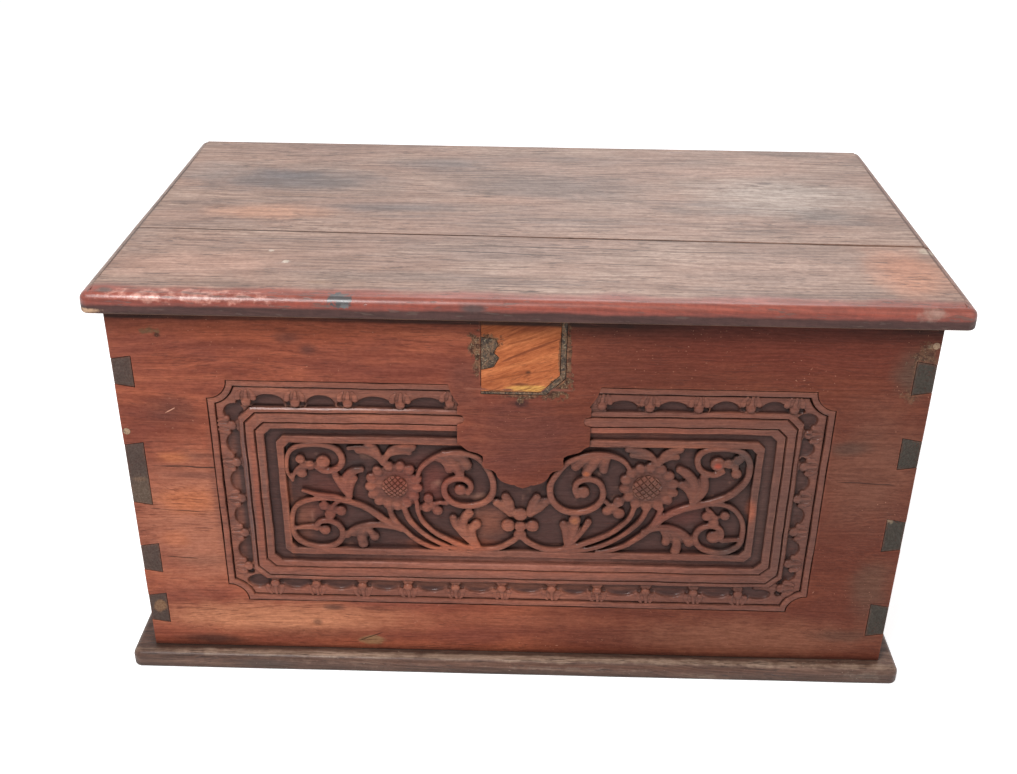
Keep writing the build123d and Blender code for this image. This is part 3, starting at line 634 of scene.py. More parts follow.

# The carved panel: the same wood, its depths dark with old polish and dust and with painted shade where surfaces
# close in; its high parts rubbed, with painted highlights along the crests
carvedWood = dict(frontWood)
del carvedWood["smears"], carvedWood["fleck"]
carvedWood.update({
    "dark": (98, 60, 49), "middle": (138, 83, 66), "light": (178, 112, 87),
    # Nearly black where surfaces close in: dirt and painted shade
    "blotch": (88, 62, 55), "blotchShare": 0.6, "shadeAndDirtReach": 0.0055, "shadeAndDirtShare": 1.0, "shadeAndDirt": (22, 14, 13),
    # Lighter edges: rubbed wear and painted highlights along the crests
    "wearAndHighlight": (216, 156, 132), "wearAndHighlightShare": 0.9, "edgeReach": 0.0009, "bump": 0.7, "roughness": 0.40, "coat": 0.14,
    "coatRough": 0.13, "grit": 60.0, "specular": 0.14,
    "spots": [
        # Rubbed tops, then the darker right half
        zone((0.0, -1.0, 0.0), -faceY - 0.0038, -faceY - 0.0016, (168, 98, 75), 0.4, ragged=0.0016, grit=45.0,
             coat=0.18),
        zone((1.0, 0.0, 0.0), -0.06, 0.18, (96, 58, 48), 0.5, ragged=0.10, grit=9.0),
        softPatch(onFront(-114.5, 190.5), (14.5, 20, 14.5), (112, 66, 53), 0.75),
        softPatch(onFront(118, 195), (16, 20, 16), (84, 52, 43), 0.75),
        zone((0.0, 1.0, 0.0), faceY + 0.0032, faceY + 0.0062, (72, 46, 42), 0.93, ragged=0.0016, grit=30.0,
             rough=0.08),
        softPatch(onFront(-170, 190), (50, 20, 40), (130, 66, 54), 0.35),
        softPatch(onFront(-88, 192), (60, 20, 45), (136, 66, 54), 0.5),
        softPatch(onFront(-180, 160), (35, 20, 30), (128, 66, 54), 0.4),
        softPatch(onFront(150, 165), (50, 20, 20), (122, 62, 52), 0.4),
        softPatch(onFront(-60, 126), (70, 20, 10), (190, 100, 66), 0.5),
        softPatch(onFront(181, 221), (5.5, 20, 5), (178, 68, 44), 0.75),
        softPatch(onFront(62, 209), (5, 20, 4), (190, 104, 62), 0.7),
        softPatch(onFront(53, 157), (7, 20, 6), (176, 108, 68), 0.7),
        softPatch(onFront(240, 180), (60, 20, 140), (96, 68, 60), 0.55),
        softPatch(onFront(-258, 180), (20, 20, 130), (96, 70, 64), 0.55),
        softPatch(onFront(-251, 180), (3.5, 20, 120), (100, 78, 76), 0.65),
        softPatch(onFront(-236, 180), (3.5, 20, 110), (112, 86, 78), 0.5),
        softPatch(onFront(-243, 180), (3.5, 20, 110), (164, 88, 64), 0.5),
        softPatch(onFront(-214, 172), (4, 20, 90), (172, 98, 68), 0.55),
        softPatch(onFront(-60, 236), (160, 20, 3.5), (176, 100, 74), 0.45),
        softPatch(onFront(0, 100), (220, 20, 12), (166, 96, 72), 0.55, coat=0.3),
        softPatch(onFront(0, 108), (260, 20, 9), (176, 114, 96), 0.6),
        softPatch(onFront(202, 228), (20, 20, 18), (66, 60, 58), 0.6),
        softPatch(onFront(198, 126), (22, 20, 12), (64, 58, 56), 0.55),
        softPatch(onFront(98, 232), (30, 20, 12), (70, 58, 56), 0.5),
        softPatch(onFront(-150, 212), (14, 20, 10), (52, 46, 45), 0.7),
        softPatch(onFront(-30, 150), (35, 20, 30), (172, 104, 78), 0.5),
        softPatch(onFront(-205, 150), (20, 20, 40), (168, 104, 80), 0.45),
        softPatch(onFront(216, 172), (7, 20, 18), (184, 102, 72), 0.65),
        softPatch(onFront(150, 240), (50, 20, 6), (170, 104, 78), 0.5),
        softPatch(onFront(0, 255), (270, 20, 12), (178, 102, 78), 0.5),
        softPatch(onFront(-262, 170), (6, 20, 110), (176, 108, 84), 0.4),
        softPatch(onFront(-20, 78), (260, 20, 6), (172, 106, 80), 0.4),
    ],
    "cracks": [
        crack(onFront(-262, 211), onFront(-236, 209), 0.9),
        crack(onFront(236, 256), onFront(262, 257), 0.9),
    ],
})

# Side boards: reddish outside, their pins dark slate where they come through the front
sideWood = dict(frontWood)
del sideWood["smears"], sideWood["fleck"]
sideWood.update({
    "turn": (0.0, 0.0, 90.0), "shift": (0.02, 0.11, 0.0),
    "spots": [
        zone((0.0, -1.0, 0.0), -faceY - 0.0021, -faceY - 0.0016, (82, 74, 69), 0.93, rough=0.14, coat=-0.1),
        zone((0.0, 1.0, 0.0), backY - 0.0021, backY - 0.0016, (92, 70, 58), 0.85, rough=0.12),
        softPatch(onFront(-350, 48), (7, 4, 9), (150, 116, 88), 0.8, edge=0.35, ragged=0.8, grit=100.0),
        softPatch(onFront(-350, 195), (9, 4, 4), (134, 108, 88), 0.7, ragged=1.2, grit=160.0),
        softPatch(onFront(-350, 180), (22, 4, 26), (122, 104, 88), 0.55),
        softPatch(onFront(352, 200), (30, 3, 260), (66, 66, 60), 0.7, edge=0.4),
        softPatch(onFront(345, 168), (5, 4, 5), (170, 152, 128), 0.7, ragged=1.6, grit=260.0),
        softPatch((-0.36, -0.05, 0.14), (20, 100, 60), (176, 98, 66), 0.5),
        softPatch((0.36, 0.04, 0.24), (20, 120, 70), (116, 60, 46), 0.5),
        softPatch((-0.36, 0.10, 0.30), (20, 60, 50), (96, 60, 50), 0.45),
        softPatch((0.36, -0.10, 0.08), (20, 70, 30), (88, 62, 52), 0.5),
    ],
    "cracks": [
        crack((-0.36, -0.19, 0.236), (-0.36, -0.06, 0.233), 0.9),
        crack((0.36, 0.05, 0.15), (0.36, 0.19, 0.153), 0.9),
    ],
})

backWood = dict(frontWood)
del backWood["smears"]
backWood.update({
    "dark": (104, 60, 46), "middle": (130, 76, 58), "light": (152, 94, 72), "shift": (0.4, 0.3, 0.02),
    "spots": [
        softPatch((-0.15, backY, 0.25), (180, 20, 70), (98, 66, 54), 0.5),
        softPatch((0.2, backY, 0.12), (160, 20, 50), (160, 96, 70), 0.45),
        softPatch((0.05, backY, 0.03), (300, 20, 14), (70, 50, 44), 0.6),
    ],
    "cracks": [crack((-0.3, backY, 0.2), (0.02, backY, 0.205), 1)],
})

baseWood = {
    "shift": (0.3, 0.02, 0.0),
    "ringWidth": 0.009, "pithDepth": 0.15, "pithTilt": 0.04, "sway": 0.03, "ringShare": 0.35,
    "dark": (82, 57, 47), "middle": (110, 81, 68), "light": (144, 113, 96),
    "blotch": (94, 70, 59), "blotchShare": 0.5, "fleck": (186, 166, 148),
    "streak": (160, 146, 138), "streakShare": 0.7, "dash": (52, 37, 33), "dashShare": 0.7,
    "roughness": 0.42, "shadeAndDirtReach": 0.010, "edgeReach": 0.003, "specular": 0.24,
    "wearAndHighlight": (160, 134, 116), "wearAndHighlightShare": 0.5, "shadeAndDirt": (30, 22, 18), "shadeAndDirtShare": 1.0,
    "bump": 0.8, "coat": 0.12, "coatRough": 0.25, "inside": chestInside,
    "spots": [
        softPatch((0.05, -0.21, 0.012), (350, 30, 6), (116, 76, 60), 0.45),
        softPatch((0.0, -0.206, 0.0176), (700, 5.5, 4), (178, 153, 133), 0.7, ragged=1.6, grit=60.0, rough=0.2),
        softPatch((0.06, -0.2135, 0.010), (100, 4, 3.5), (150, 128, 114), 0.5, ragged=2.2, grit=150.0),
        softPatch((-0.16, -0.2135, 0.012), (120, 4, 4), (150, 122, 106), 0.45, ragged=2.2, grit=110.0),
        softPatch((0.345, -0.2135, 0.010), (30, 6, 7), (136, 118, 104), 0.5, ragged=2.0, grit=150.0),
        softPatch((-0.25, -0.21, 0.008), (50, 30, 8), (74, 62, 56), 0.6),
        softPatch((0.19, -0.213, 0.004), (12, 10, 4), (146, 124, 108), 0.6, ragged=1.5, grit=200.0),
        zone((0.0, 0.0, -1.0), -0.0012, -0.0004, (96, 78, 68), 0.8, rough=0.2),
    ],
}

patchWood = {
    "turn": (90.0, -21.0, 0.0),
    "ringWidth": 0.021, "pithDepth": 0.05, "pithTilt": 0.09, "sway": 0.02, "ringShare": 0.5,
    "dark": (172, 96, 58), "middle": (200, 118, 73), "light": (216, 136, 86),
    "blotch": (184, 104, 62), "blotchShare": 0.3, "specular": 0.16,
    "streak": (180, 150, 130), "streakShare": 0.5, "dash": (112, 60, 38), "dashShare": 0.6,
    "roughness": 0.5, "shadeAndDirtReach": 0.003, "edgeReach": 0.0015,
    "wearAndHighlight": (206, 136, 88), "wearAndHighlightShare": 0.3, "shadeAndDirt": (60, 42, 30), "shadeAndDirtShare": 0.8,
    "bump": 0.5, "coat": 0.0, "coatRough": 0.25,
    "spots": [
        softPatch(onFront(6.5, 314), (4, 10, 4), (74, 46, 34), 0.85, edge=0.8),
        softPatch(onFront(8, 298.5), (24, 10, 4.2), (226, 174, 96), 0.85, edge=0.6),
        softPatch(onFront(0, 302.5), (12, 10, 2.2), (104, 62, 40), 0.75),
        softPatch(onFront(12, 360), (34, 10, 10), (128, 62, 40), 0.6),
        # Painted shadow under the lid's overhang along the top of the patch
        zone((0.0, 0.0, 1.0), 0.3755, 0.3785, (40, 24, 18), 0.93, ragged=0.002),
    ],
    "smears": [
        (onFront(-26, 345), (0.011, 0.01, 0.007), 0.9), (onFront(-29, 331), (0.008, 0.01, 0.012), 0.9),
        (onFront(32, 301), (0.009, 0.01, 0.010), 0.8), (onFront(35, 335), (0.0026, 0.01, 0.03), 0.7),
        (onFront(-10, 295), (0.03, 0.01, 0.0016), 0.6),
    ],
    "cracks": [
        crack(onFront(-22, 321), onFront(34, 348), 1.6, wander=0.006, colour=(118, 60, 36), share=0.75),
        crack(onFront(-33, 304), onFront(32, 318), 1.1, wander=0.004, colour=(148, 80, 46), share=0.7),
        crack(onFront(-14, 340), onFront(14, 349), 1, wander=0.004, colour=(140, 74, 44), share=0.6),
    ],
}

battenWood = dict(baseWood)
battenWood.update({
    "turn": (0.0, 0.0, 90.0), "dark": (96, 66, 50), "middle": (124, 88, 68), "light": (150, 112, 88),
    "blotch": (112, 78, 60), "coat": 0.0, "roughness": 0.55, "spots": [],
})
del battenWood["inside"]

lidFinish = woodFinish("lidFinish", lidWood)
battenFinish = woodFinish("battenFinish", battenWood)
frontFinish = woodFinish("frontFinish", frontWood)
carvedFinish = woodFinish("carvedFinish", carvedWood)
sideFinish = woodFinish("sideFinish", sideWood)
backFinish = woodFinish("backFinish", backWood)
baseFinish = woodFinish("baseFinish", baseWood)
patchFinish = woodFinish("patchFinish", patchWood)
print("wood finishes made")


# Putty, pegs and iron
def puttyFinish(name):
    finish, tree, shader, place = newFinish(name)
    lumps = cloud(tree, place, putty["lumps"], 4.0, 0.65)
    grains = cloud(tree, place, putty["grains"], 3.0, 0.7)
    colour = fillerColour(tree, place)
    hollowsAndEdges = useGroup(tree, hollowsAndEdgesGroup, Place=place, HollowReach=0.002, EdgeReach=0.002, Grit=120.0)
    # Darker where surfaces close in: dirt and painted shade
    colour = mixColours(tree, maths(tree, "MULTIPLY", hollowsAndEdges["Hollow"], 0.4), colour, paint(*putty["dark"]))
    rough = spread(tree, grains, 0.3, 0.7, 0.72, 0.95)
    height = maths(tree, "MULTIPLY_ADD", lumps, 2.0, grains)
    closeFinish(tree, shader, colour, rough, height, 0.8, 0.0009)
    return finish


def endGrainFinish(name, peg):
    # Sawn ends of pegs and dowels: fine pores and short checks, dirt and painted shade round the rim
    finish, tree, shader, place = newFinish(name)
    pores = cloud(tree, place, 900.0, 2.0, 0.6)
    tone = cloud(tree, place, 120.0, 3.0, 0.6)
    colour = ramp(tree, tone, [(0.35, paint(*peg["dark"])), (0.65, paint(*peg["light"]))])
    colour = mixColours(tree, spread(tree, pores, 0.56, 0.66), colour, paint(*peg["pore"]))
    hollowsAndEdges = useGroup(tree, hollowsAndEdgesGroup, Place=place, HollowReach=0.002, EdgeReach=0.001, Grit=200.0)
    # Darker round the rim: dirt and painted shade
    colour = mixColours(tree, hollowsAndEdges["Hollow"], colour, paint(*peg["pore"]))
    closeFinish(tree, shader, colour, spread(tree, pores, 0.3, 0.7, 0.5, 0.75), pores, 0.5)
    return finish


def ironFinish(name, iron):
    finish, tree, shader, place = newFinish(name)
    scale = cloud(tree, place, 260.0, 4.0, 0.65)
    rust = spread(tree, cloud(tree, place, 70.0, 4.0, 0.7), 0.5, 0.68)
    colour = ramp(tree, scale, [(0.3, paint(*iron["dark"])), (0.7, paint(*iron["light"]))])
    colour = mixColours(tree, maths(tree, "MULTIPLY", rust, iron["rustShare"]), colour, paint(*iron["rust"]))
    hollowsAndEdges = useGroup(tree, hollowsAndEdgesGroup, Place=place, HollowReach=0.003, EdgeReach=0.001, Grit=200.0)
    colour = mixColours(tree, maths(tree, "MULTIPLY", hollowsAndEdges["Edge"], 0.6), colour, paint(*iron["rubbed"]))
    rough = maths(tree, "MULTIPLY_ADD", rust, 0.35, spread(tree, scale, 0.3, 0.7, 0.38, 0.6), clamp=True)
    metal = maths(tree, "SUBTRACT", 0.9, maths(tree, "MULTIPLY", rust, 0.8), clamp=True)
    put(tree, shader.inputs["Metallic"], metal)
    closeFinish(tree, shader, colour, rough, maths(tree, "MULTIPLY_ADD", rust, 0.6, scale), 0.6)
    return finish


peg = {"dark": (126, 98, 76), "light": (176, 146, 116), "pore": (74, 52, 40)}
iron = {"dark": (46, 42, 40), "light": (88, 82, 78), "rubbed": (150, 144, 138), "rust": (96, 52, 32),
        "rustShare": 0.7}
puttyLook = puttyFinish("puttyFinish")
pegLook = endGrainFinish("pegFinish", peg)
ironLook = ironFinish("ironFinish", iron)


# Nodes that keep their CAD shape get their finish here
for nodeName, finish in (
        ("tail_pegs", pegLook), ("base_dowels", pegLook), ("lid_dowels", pegLook), ("base_nails", ironLook),
        ("batten_nails", ironLook), ("hinge_left_case_leaf", ironLook), ("hinge_right_case_leaf", ironLook),
        ("hinge_left_lid_leaf", ironLook), ("hinge_right_lid_leaf", ironLook), ("hinge_left_pin", ironLook),
        ("hinge_right_pin", ironLook), ("case_leaf_screws", ironLook), ("lid_leaf_screws", ironLook)):
    mesh = nodes[nodeName].data
    mesh.materials.clear()
    mesh.materials.append(finish)


# Tools for making pieces
def toMesh(name, bm):
    mesh = bpy.data.meshes.new(name)
    bm.to_mesh(mesh)
    bm.free()
    return mesh


def newObject(name, data):
    made = bpy.data.objects.new(name, data)
    bpy.context.scene.collection.objects.link(made)
    return made


def shapedForm(holder, *helpers):
    # The form that an object's own modifiers or bevel give; the object and its helpers then go
    bpy.context.view_layer.update()
    shaped = bpy.data.meshes.new_from_object(holder.evaluated_get(bpy.context.evaluated_depsgraph_get()))
    bm = bmesh.new()
    bm.from_mesh(shaped)
    bpy.data.meshes.remove(shaped)
    for item in (holder, *helpers):
        data = item.data
        bpy.data.objects.remove(item)
        bpy.data.batch_remove([data])
    return bm


def addForm(bm, form):
    # Joins one form to another, through a mesh
    mesh = toMesh("joined", form)
    bm.from_mesh(mesh)
    bpy.data.meshes.remove(mesh)


def slicePlane(bm, point, normal, **more):
    bmesh.ops.bisect_plane(bm, geom=bm.verts[:] + bm.edges[:] + bm.faces[:], plane_co=point, plane_no=normal, **more)


def newPiece(name, bm, finish, body, nodeName, sharpAngle):
    bmesh.ops.recalc_face_normals(bm, faces=bm.faces)
    for face in bm.faces:
        face.smooth = True
    for edge in bm.edges:
        edge.smooth = not (len(edge.link_faces) == 2 and edge.calc_face_angle(0.0) > math.radians(sharpAngle))
    piece = newObject(name, toMesh(name, bm))
    piece.data.materials.append(finish)
    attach(piece, body)
    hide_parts(nodeName)


def fused(bm, voxel, smoothing):
    # Melts overlapping forms into one skin, as carved wood is
    bmesh.ops.recalc_face_normals(bm, faces=bm.faces)
    holder = newObject("rough", toMesh("rough", bm))
    skin = holder.modifiers.new("skin", "REMESH")
    skin.mode = "VOXEL"
    skin.voxel_size = voxel
    rounded = holder.modifiers.new("rounded", "SMOOTH")
    rounded.factor = 0.5
    rounded.iterations = smoothing
    return shapedForm(holder)


def ridges(bm, strokes, base):
    # Round-backed ridges along smooth lines: points, widths from end to end, rise above the field. The base is
    # the level, in millimetres, where their feet are cut off
    profile = bpy.data.curves.new("ridgeProfile", "CURVE")
    profile.dimensions = "2D"
    outline = profile.splines.new("POLY")
    shape = carving["profile"]
    outline.points.add(len(shape) - 1)
    for point, (across, up) in zip(outline.points, shape):
        point.co = (across / 1000, up / 1000, 0.0, 1.0)
    outline.use_cyclic_u = True
    profileHolder = newObject("ridgeProfile", profile)
    lines = bpy.data.curves.new("ridgeLines", "CURVE")
    lines.dimensions = "3D"
    lines.twist_mode = "Z_UP"
    lines.bevel_mode = "OBJECT"
    lines.bevel_object = profileHolder
    lines.use_fill_caps = True
    lines.resolution_u = 5
    strokes = [(points, [width * carving["widen"] for width in widths], rise) for points, widths, rise in strokes]
    for points, widths, rise in strokes:
        spline = lines.splines.new("BEZIER")
        spline.bezier_points.add(len(points) - 1)
        for i, (knot, (x, z)) in enumerate(zip(spline.bezier_points, points)):
            along = i / (len(points) - 1) * (len(widths) - 1)
            first = min(int(along), max(len(widths) - 2, 0))
            second = min(first + 1, len(widths) - 1)
            width = widths[first] + (widths[second] - widths[first]) * (along - first)
            knot.co = (x / 1000, z / 1000, (rise - carving["crown"] * width) / 1000)
            knot.radius = width
            knot.handle_left_type = "AUTO"
            knot.handle_right_type = "AUTO"
    made = shapedForm(newObject("ridgeLines", lines), profileHolder)
    bmesh.ops.remove_doubles(made, verts=made.verts, dist=0.000001)
    slicePlane(made, (0, 0, base / 1000), (0, 0, 1), clear_inner=True)
    bmesh.ops.holes_fill(made, edges=[e for e in made.edges if e.is_boundary])
    bmesh.ops.triangulate(made, faces=made.faces)
    addForm(bm, made)
    for points, widths, rise in strokes:
        for (x, z), width in ((points[0], widths[0]), (points[-1], widths[-1])):
            button(bm, x, z, width / 2, rise, carving["crown"] * width, base)


def button(bm, x, z, radius, rise, crown, base, stretch=1.0, turn=0.0):
    # A round boss: a short post with a domed top, made apart because joining is quick and adding is not
    low, high = base / 1000, (rise - crown) / 1000
    place = Matrix.Translation((x / 1000, z / 1000, 0)) @ Matrix.Rotation(math.radians(turn), 4, "Z")
    oval = Matrix.Diagonal((stretch, 1.0, 1.0, 1.0))
    boss = bmesh.new()
    bmesh.ops.create_cone(boss, cap_ends=True, segments=20, radius1=radius * 1.04 / 1000, radius2=radius / 1000,
                          depth=high - low, matrix=place @ Matrix.Translation((0, 0, (low + high) / 2)) @ oval)
    dome = place @ Matrix.Translation((0, 0, high)) @ oval @ Matrix.Diagonal((1.0, 1.0, crown / radius, 1.0))
    bmesh.ops.create_uvsphere(boss, u_segments=20, v_segments=12, radius=radius / 1000, matrix=dome)
    addForm(bm, boss)


def waver(bm, amount, scale, seed=0.0):
    # Lines cut by hand wander a little sideways
    for v in bm.verts:
        shift = noise.noise_vector(v.co * scale + Vector((seed, 0, 0))) * amount
        v.co.x += shift.x
        v.co.y += shift.y


def carvedPiece(name, bm, sharpAngle):
    # Stands the finished carving up in its place on the front
    bmesh.ops.transform(bm, matrix=carvingPlace, verts=bm.verts)
    newPiece(name, bm, carvedFinish, "case", "front_board", sharpAngle)


def cellCuts(bm, axis, low, high, step):
    # Divides the faces along one axis, so that they can be uneven
    normal = Vector((axis == 0, axis == 1, axis == 2))
    count = int((high - low) / step)
    for i in range(1, count):
        slicePlane(bm, normal * (low + (high - low) * i / count), normal, dist=0.00001)


def roughen(bm, amount, scale, seed=0.0):
    # Small unevenness of hand work, pressed inwards only
    bm.normal_update()
    moves = [v.normal * (-amount * (0.5 + 0.5 * noise.noise(v.co * scale + Vector((seed, 0, 0))))) for v in bm.verts]
    for v, move in zip(bm.verts, moves):
        v.co += move


carving = {
    "fieldDepth": 7.5, "base": -0.7, "crown": 0.27, "widen": 1.13, "voxel": 0.0008,
    "profile": [(-0.5, -3.4), (-0.5, -0.05), (-0.45, 0.08), (-0.3, 0.2), (0.0, 0.27), (0.3, 0.2), (0.45, 0.08),
                (0.5, -0.05), (0.5, -3.4)],
}
carvingPlace = (Matrix.Translation((0, faceY + carving["fieldDepth"] / 1000, bodyLow))
                @ Matrix.Rotation(math.radians(90), 4, "X"))

panelFrame = {
    "half": 279.5, "low": 57.5, "high": 300.5, "scoop": 18.5, "topLean": 2.0, "lowLean": 1.0,
    # Inset at the sides, inset above and below, depth, cut across the corner (None: scooped)
    "bead": [(0.06, 0.06, 8.8, None), (0.06, 0.06, 1.3, None), (0.7, 0.7, 0.5, None), (1.8, 1.8, 0.14, None),
             (3.4, 3.4, 0.06, None), (5.0, 5.0, 0.2, None), (6.0, 6.0, 0.75, None), (6.7, 6.7, 2.3, None),
             (6.9, 6.9, 8.8, None)],
    "plate": [(6.95, 6.95, 8.8, None), (6.95, 6.95, 2.4, None), (7.5, 7.5, 1.7, None), (12.0, 12.0, 1.9, None),
              (17.0, 17.0, 2.4, None), (25.6, 25.6, 2.8, None), (27.6, 27.6, 3.4, None), (27.8, 27.8, 8.8, None)],
    "rails": [(25.1, 25.1, 8.8, 11.0), (25.1, 25.1, 6.2, 11.0), (25.9, 25.9, 2.6, 11.0), (27.2, 27.2, 1.4, 10.9),
              (30.0, 30.0, 1.3, 10.4), (31.1, 31.1, 3.0, 10.2), (32.0, 32.0, 1.1, 10.0), (32.7, 32.7, 0.75, 10.0),
              (38.4, 39.6, 0.7, 8.4), (39.1, 40.4, 1.1, 8.2), (40.1, 41.3, 3.2, 8.0), (41.0, 42.0, 1.8, 7.8),
              (46.6, 47.0, 1.9, 6.8), (47.8, 48.0, 2.8, 6.4), (48.2, 48.4, 6.0, 6.2), (57.6, 55.4, 6.0, 6.0),
              (58.0, 55.8, 2.9, 6.0), (58.8, 56.6, 2.3, 6.0), (63.8, 62.2, 2.2, 5.2), (64.8, 63.2, 3.0, 5.0),
              (65.4, 63.8, 7.4, 5.0)],
    "cutStep": 0.007, "unevenness": 0.0004, "waver": 0.0007,
}


def panelRing(bm, sideInset, topInset, depth, cant):
    # One closed ring of vertices, nine at each corner
    half = panelFrame["half"]
    low, high = panelFrame["low"], panelFrame["high"]
    ring = []
    for sideX, sideZ in ((-1, 1), (1, 1), (1, -1), (-1, -1)):
        edgeZ = high if sideZ > 0 else low
        corner = []
        for i in range(9):
            share = i / 8
            if cant is None:
                radius = panelFrame["scoop"] + sideInset
                start = math.asin(min(sideInset / radius, 0.7))
                angle = start + (math.pi / 2 - 2 * start) * share
                x = sideX * (half - radius * math.sin(angle))
                z = edgeZ - sideZ * radius * math.cos(angle)
            else:
                x = sideX * (half - sideInset - cant * share)
                z = edgeZ - sideZ * (topInset + cant * (1 - share))
                lean = panelFrame["topLean"] if sideZ > 0 else panelFrame["lowLean"]
                z += lean * x / 215
            corner.append((x, z))
        ring += corner if sideX * sideZ < 0 else corner[::-1]
    verts = [bm.verts.new((x / 1000, z / 1000, (carving["fieldDepth"] - depth) / 1000)) for x, z in ring]
    return [bm.edges.new((a, b)) for a, b in zip(verts, verts[1:] + verts[:1])]


def ringSolid(bm, rows, hollow):
    # Rings bridged one to the next: a hollow one joins up with itself, the other is filled at both ends
    loops = [panelRing(bm, *row) for row in rows]
    pairs = list(zip(loops, loops[1:]))
    if hollow:
        pairs.append((loops[-1], loops[0]))
    for one, two in pairs:
        bmesh.ops.bridge_loops(bm, edges=one + two)
    if not hollow:
        for loop in (loops[0], loops[-1]):
            bmesh.ops.edgenet_fill(bm, edges=loop)


# Scrollwork of the left half: each ridge is its points across and up, its widths from end to end, its rise
scrollLeft = {
    "ridges": [
        ([(-209, 195), (-213, 203), (-213.5, 214), (-212, 222), (-208, 228.5), (-200, 232.5), (-190, 234),
          (-180, 233.5), (-171, 231.5), (-165.5, 227), (-162.5, 220), (-163, 214), (-166, 209.5), (-172, 206.5),
          (-179, 205.5), (-185, 209)], (2.4, 4.6, 5.6, 6.0, 5.0), 5.6),
        ([(-209, 197), (-207, 203), (-203.5, 208), (-199, 211)], (3, 4), 4.4),
        ([(-157.5, 177), (-163, 186), (-167, 194), (-169.5, 201)], (4, 6.5), 5.0),
        ([(-157.5, 179), (-160.5, 190), (-158.5, 199), (-153, 205.5), (-145, 208)], (6, 9.5, 5), 5.6),
        ([(-157, 181), (-155.5, 190), (-152.5, 198)], (5, 7), 5.0),
        ([(-201, 184), (-195, 182), (-188, 179.5), (-180, 178), (-170, 176), (-160, 173), (-152, 170), (-143, 166),
          (-134, 159.5), (-126, 152.5), (-119, 147), (-110, 143)], (2.4, 5.5, 6.2, 7), 5.4),
        ([(-168, 175), (-180, 175.5), (-190, 174.5), (-200, 171.5), (-208, 166), (-212, 158), (-213.5, 149),
          (-213.5, 140), (-210.5, 131), (-204, 124.5), (-195, 121), (-185, 120), (-175, 122.5), (-168.5, 128),
          (-166, 136), (-168, 143.5), (-174, 148.5), (-181, 150), (-188, 147.5), (-190.5, 141.5)],
         (4, 5, 5.5, 5.5, 5), 5.2),
        ([(-210, 141), (-202, 142), (-194, 142.5)], (3, 6), 4.6),
        ([(-168, 172), (-173.5, 167), (-175, 160)], (4, 4), 4.2),
        ([(-110, 143), (-120, 145), (-130, 146.5), (-140, 146), (-150, 143), (-157, 139), (-162, 134)], (5, 6.5, 6),
         5.2),
        ([(-145, 143), (-148, 133), (-147, 124)], (7, 10, 9.5), 5.0),
        ([(-142, 142), (-138.5, 137), (-136, 133)], (5, 7, 9), 5.2),
        ([(-150, 142), (-156, 137)], (7, 9), 4.7),
        ([(-125, 215), (-129, 223), (-133, 230), (-137, 235)], (4, 8, 9), 5.4),
        ([(-126, 217), (-133, 224), (-140, 227.5), (-147, 228)], (4, 7, 6), 5.0),
        ([(-139, 231), (-148, 231), (-156, 230)], (5, 4), 4.0),
        ([(-125, 215), (-120.5, 224), (-114, 230.5), (-106, 233.5), (-98, 233)], (4, 8, 8), 5.4),
        ([(-119, 225), (-110, 228), (-101, 227.5)], (5, 6.5, 6), 4.9),
        ([(-121, 168), (-118, 156), (-112, 147), (-105, 139), (-98, 132), (-90, 126.5), (-80, 122), (-68, 119.5)],
         (5.5, 4.5, 4.5), 5.0),
        ([(-107, 167), (-102, 153), (-96, 145), (-89, 138), (-80, 131), (-70, 125.5), (-60, 121.5), (-50, 120)],
         (5.5, 4.5, 4.5), 5.2),
        ([(-95, 174), (-93.5, 162), (-89.5, 152), (-84, 145), (-77, 138.5), (-68, 133), (-58, 127.5), (-48, 123.5),
          (-38, 121.5), (-28, 121.5), (-18, 123.5), (-10, 128), (-4, 132.5), (1, 138)], (4, 4.5, 5, 5.5), 5.6),
        ([(-93, 204), (-89.5, 212), (-83, 218.5), (-76, 223.5), (-68, 226.5), (-58, 228), (-50, 227.5), (-42, 225.5),
          (-35, 221), (-29, 212), (-25, 203), (-23.5, 193), (-25, 183), (-31, 175.5), (-40, 171.5), (-50, 170.5),
          (-60, 173), (-66, 178.5), (-69, 186), (-68, 193.5), (-63, 198.5), (-55, 200.5), (-47.5, 198), (-44, 191.5),
          (-47, 185.5)], (4, 5, 6, 6, 5.5, 5.5, 5), 5.8),
        ([(-76, 222), (-67, 217), (-64, 210)], (6, 8, 8), 5.0),
        ([(-69, 226), (-60, 216), (-54.5, 206)], (7, 10, 8.5), 5.5),
        ([(-61, 226), (-52, 221), (-48, 214)], (8, 10, 9.5), 5.1),
        ([(-79, 171), (-74, 173), (-67, 172.5)], (3.6, 4), 4.4),
        ([(-38, 123), (-48, 133), (-55, 142), (-60, 151), (-61, 156)], (4, 5.5, 7), 5.2),
        ([(-39, 124), (-48, 136), (-52, 147), (-50.5, 156), (-46.5, 162)], (5, 8, 9), 5.6),
        ([(-38, 124), (-43, 136), (-43.5, 144), (-39.5, 149)], (6, 8, 9.5), 5.2),
        ([(-7, 164), (-9, 173), (-12, 181)], (8, 10, 7.5), 5.0),
        ([(-7, 163), (-14, 170), (-20, 174)], (8, 10.5, 8), 4.7),
    ],
    # Round bosses: across, up, radius, rise
    "bosses": [
        (-180, 215, 6.3, 6.0), (-201, 217.5, 4.3, 5.2), (-192.5, 211, 4.8, 5.2), (-200.5, 202.5, 4.8, 5.2),
        (-182.5, 139.5, 5, 5.8), (-182, 167, 4.8, 5.2), (-177, 157, 5, 5.2), (-166.5, 161.5, 5, 5.2),
        (-54, 188, 5.5, 6.0), (-84, 177.5, 4.5, 5.2), (-86, 167.5, 5, 5.2), (-75.5, 164, 4.8, 5.2),
        (-81, 170, 4, 4.6), (-198, 209.5, 3.4, 4.4), (-175, 162, 3.4, 4.4),
        (2, 161.5, 6.6, 5.8), (-9, 149, 6.5, 5.8),
    ],
}

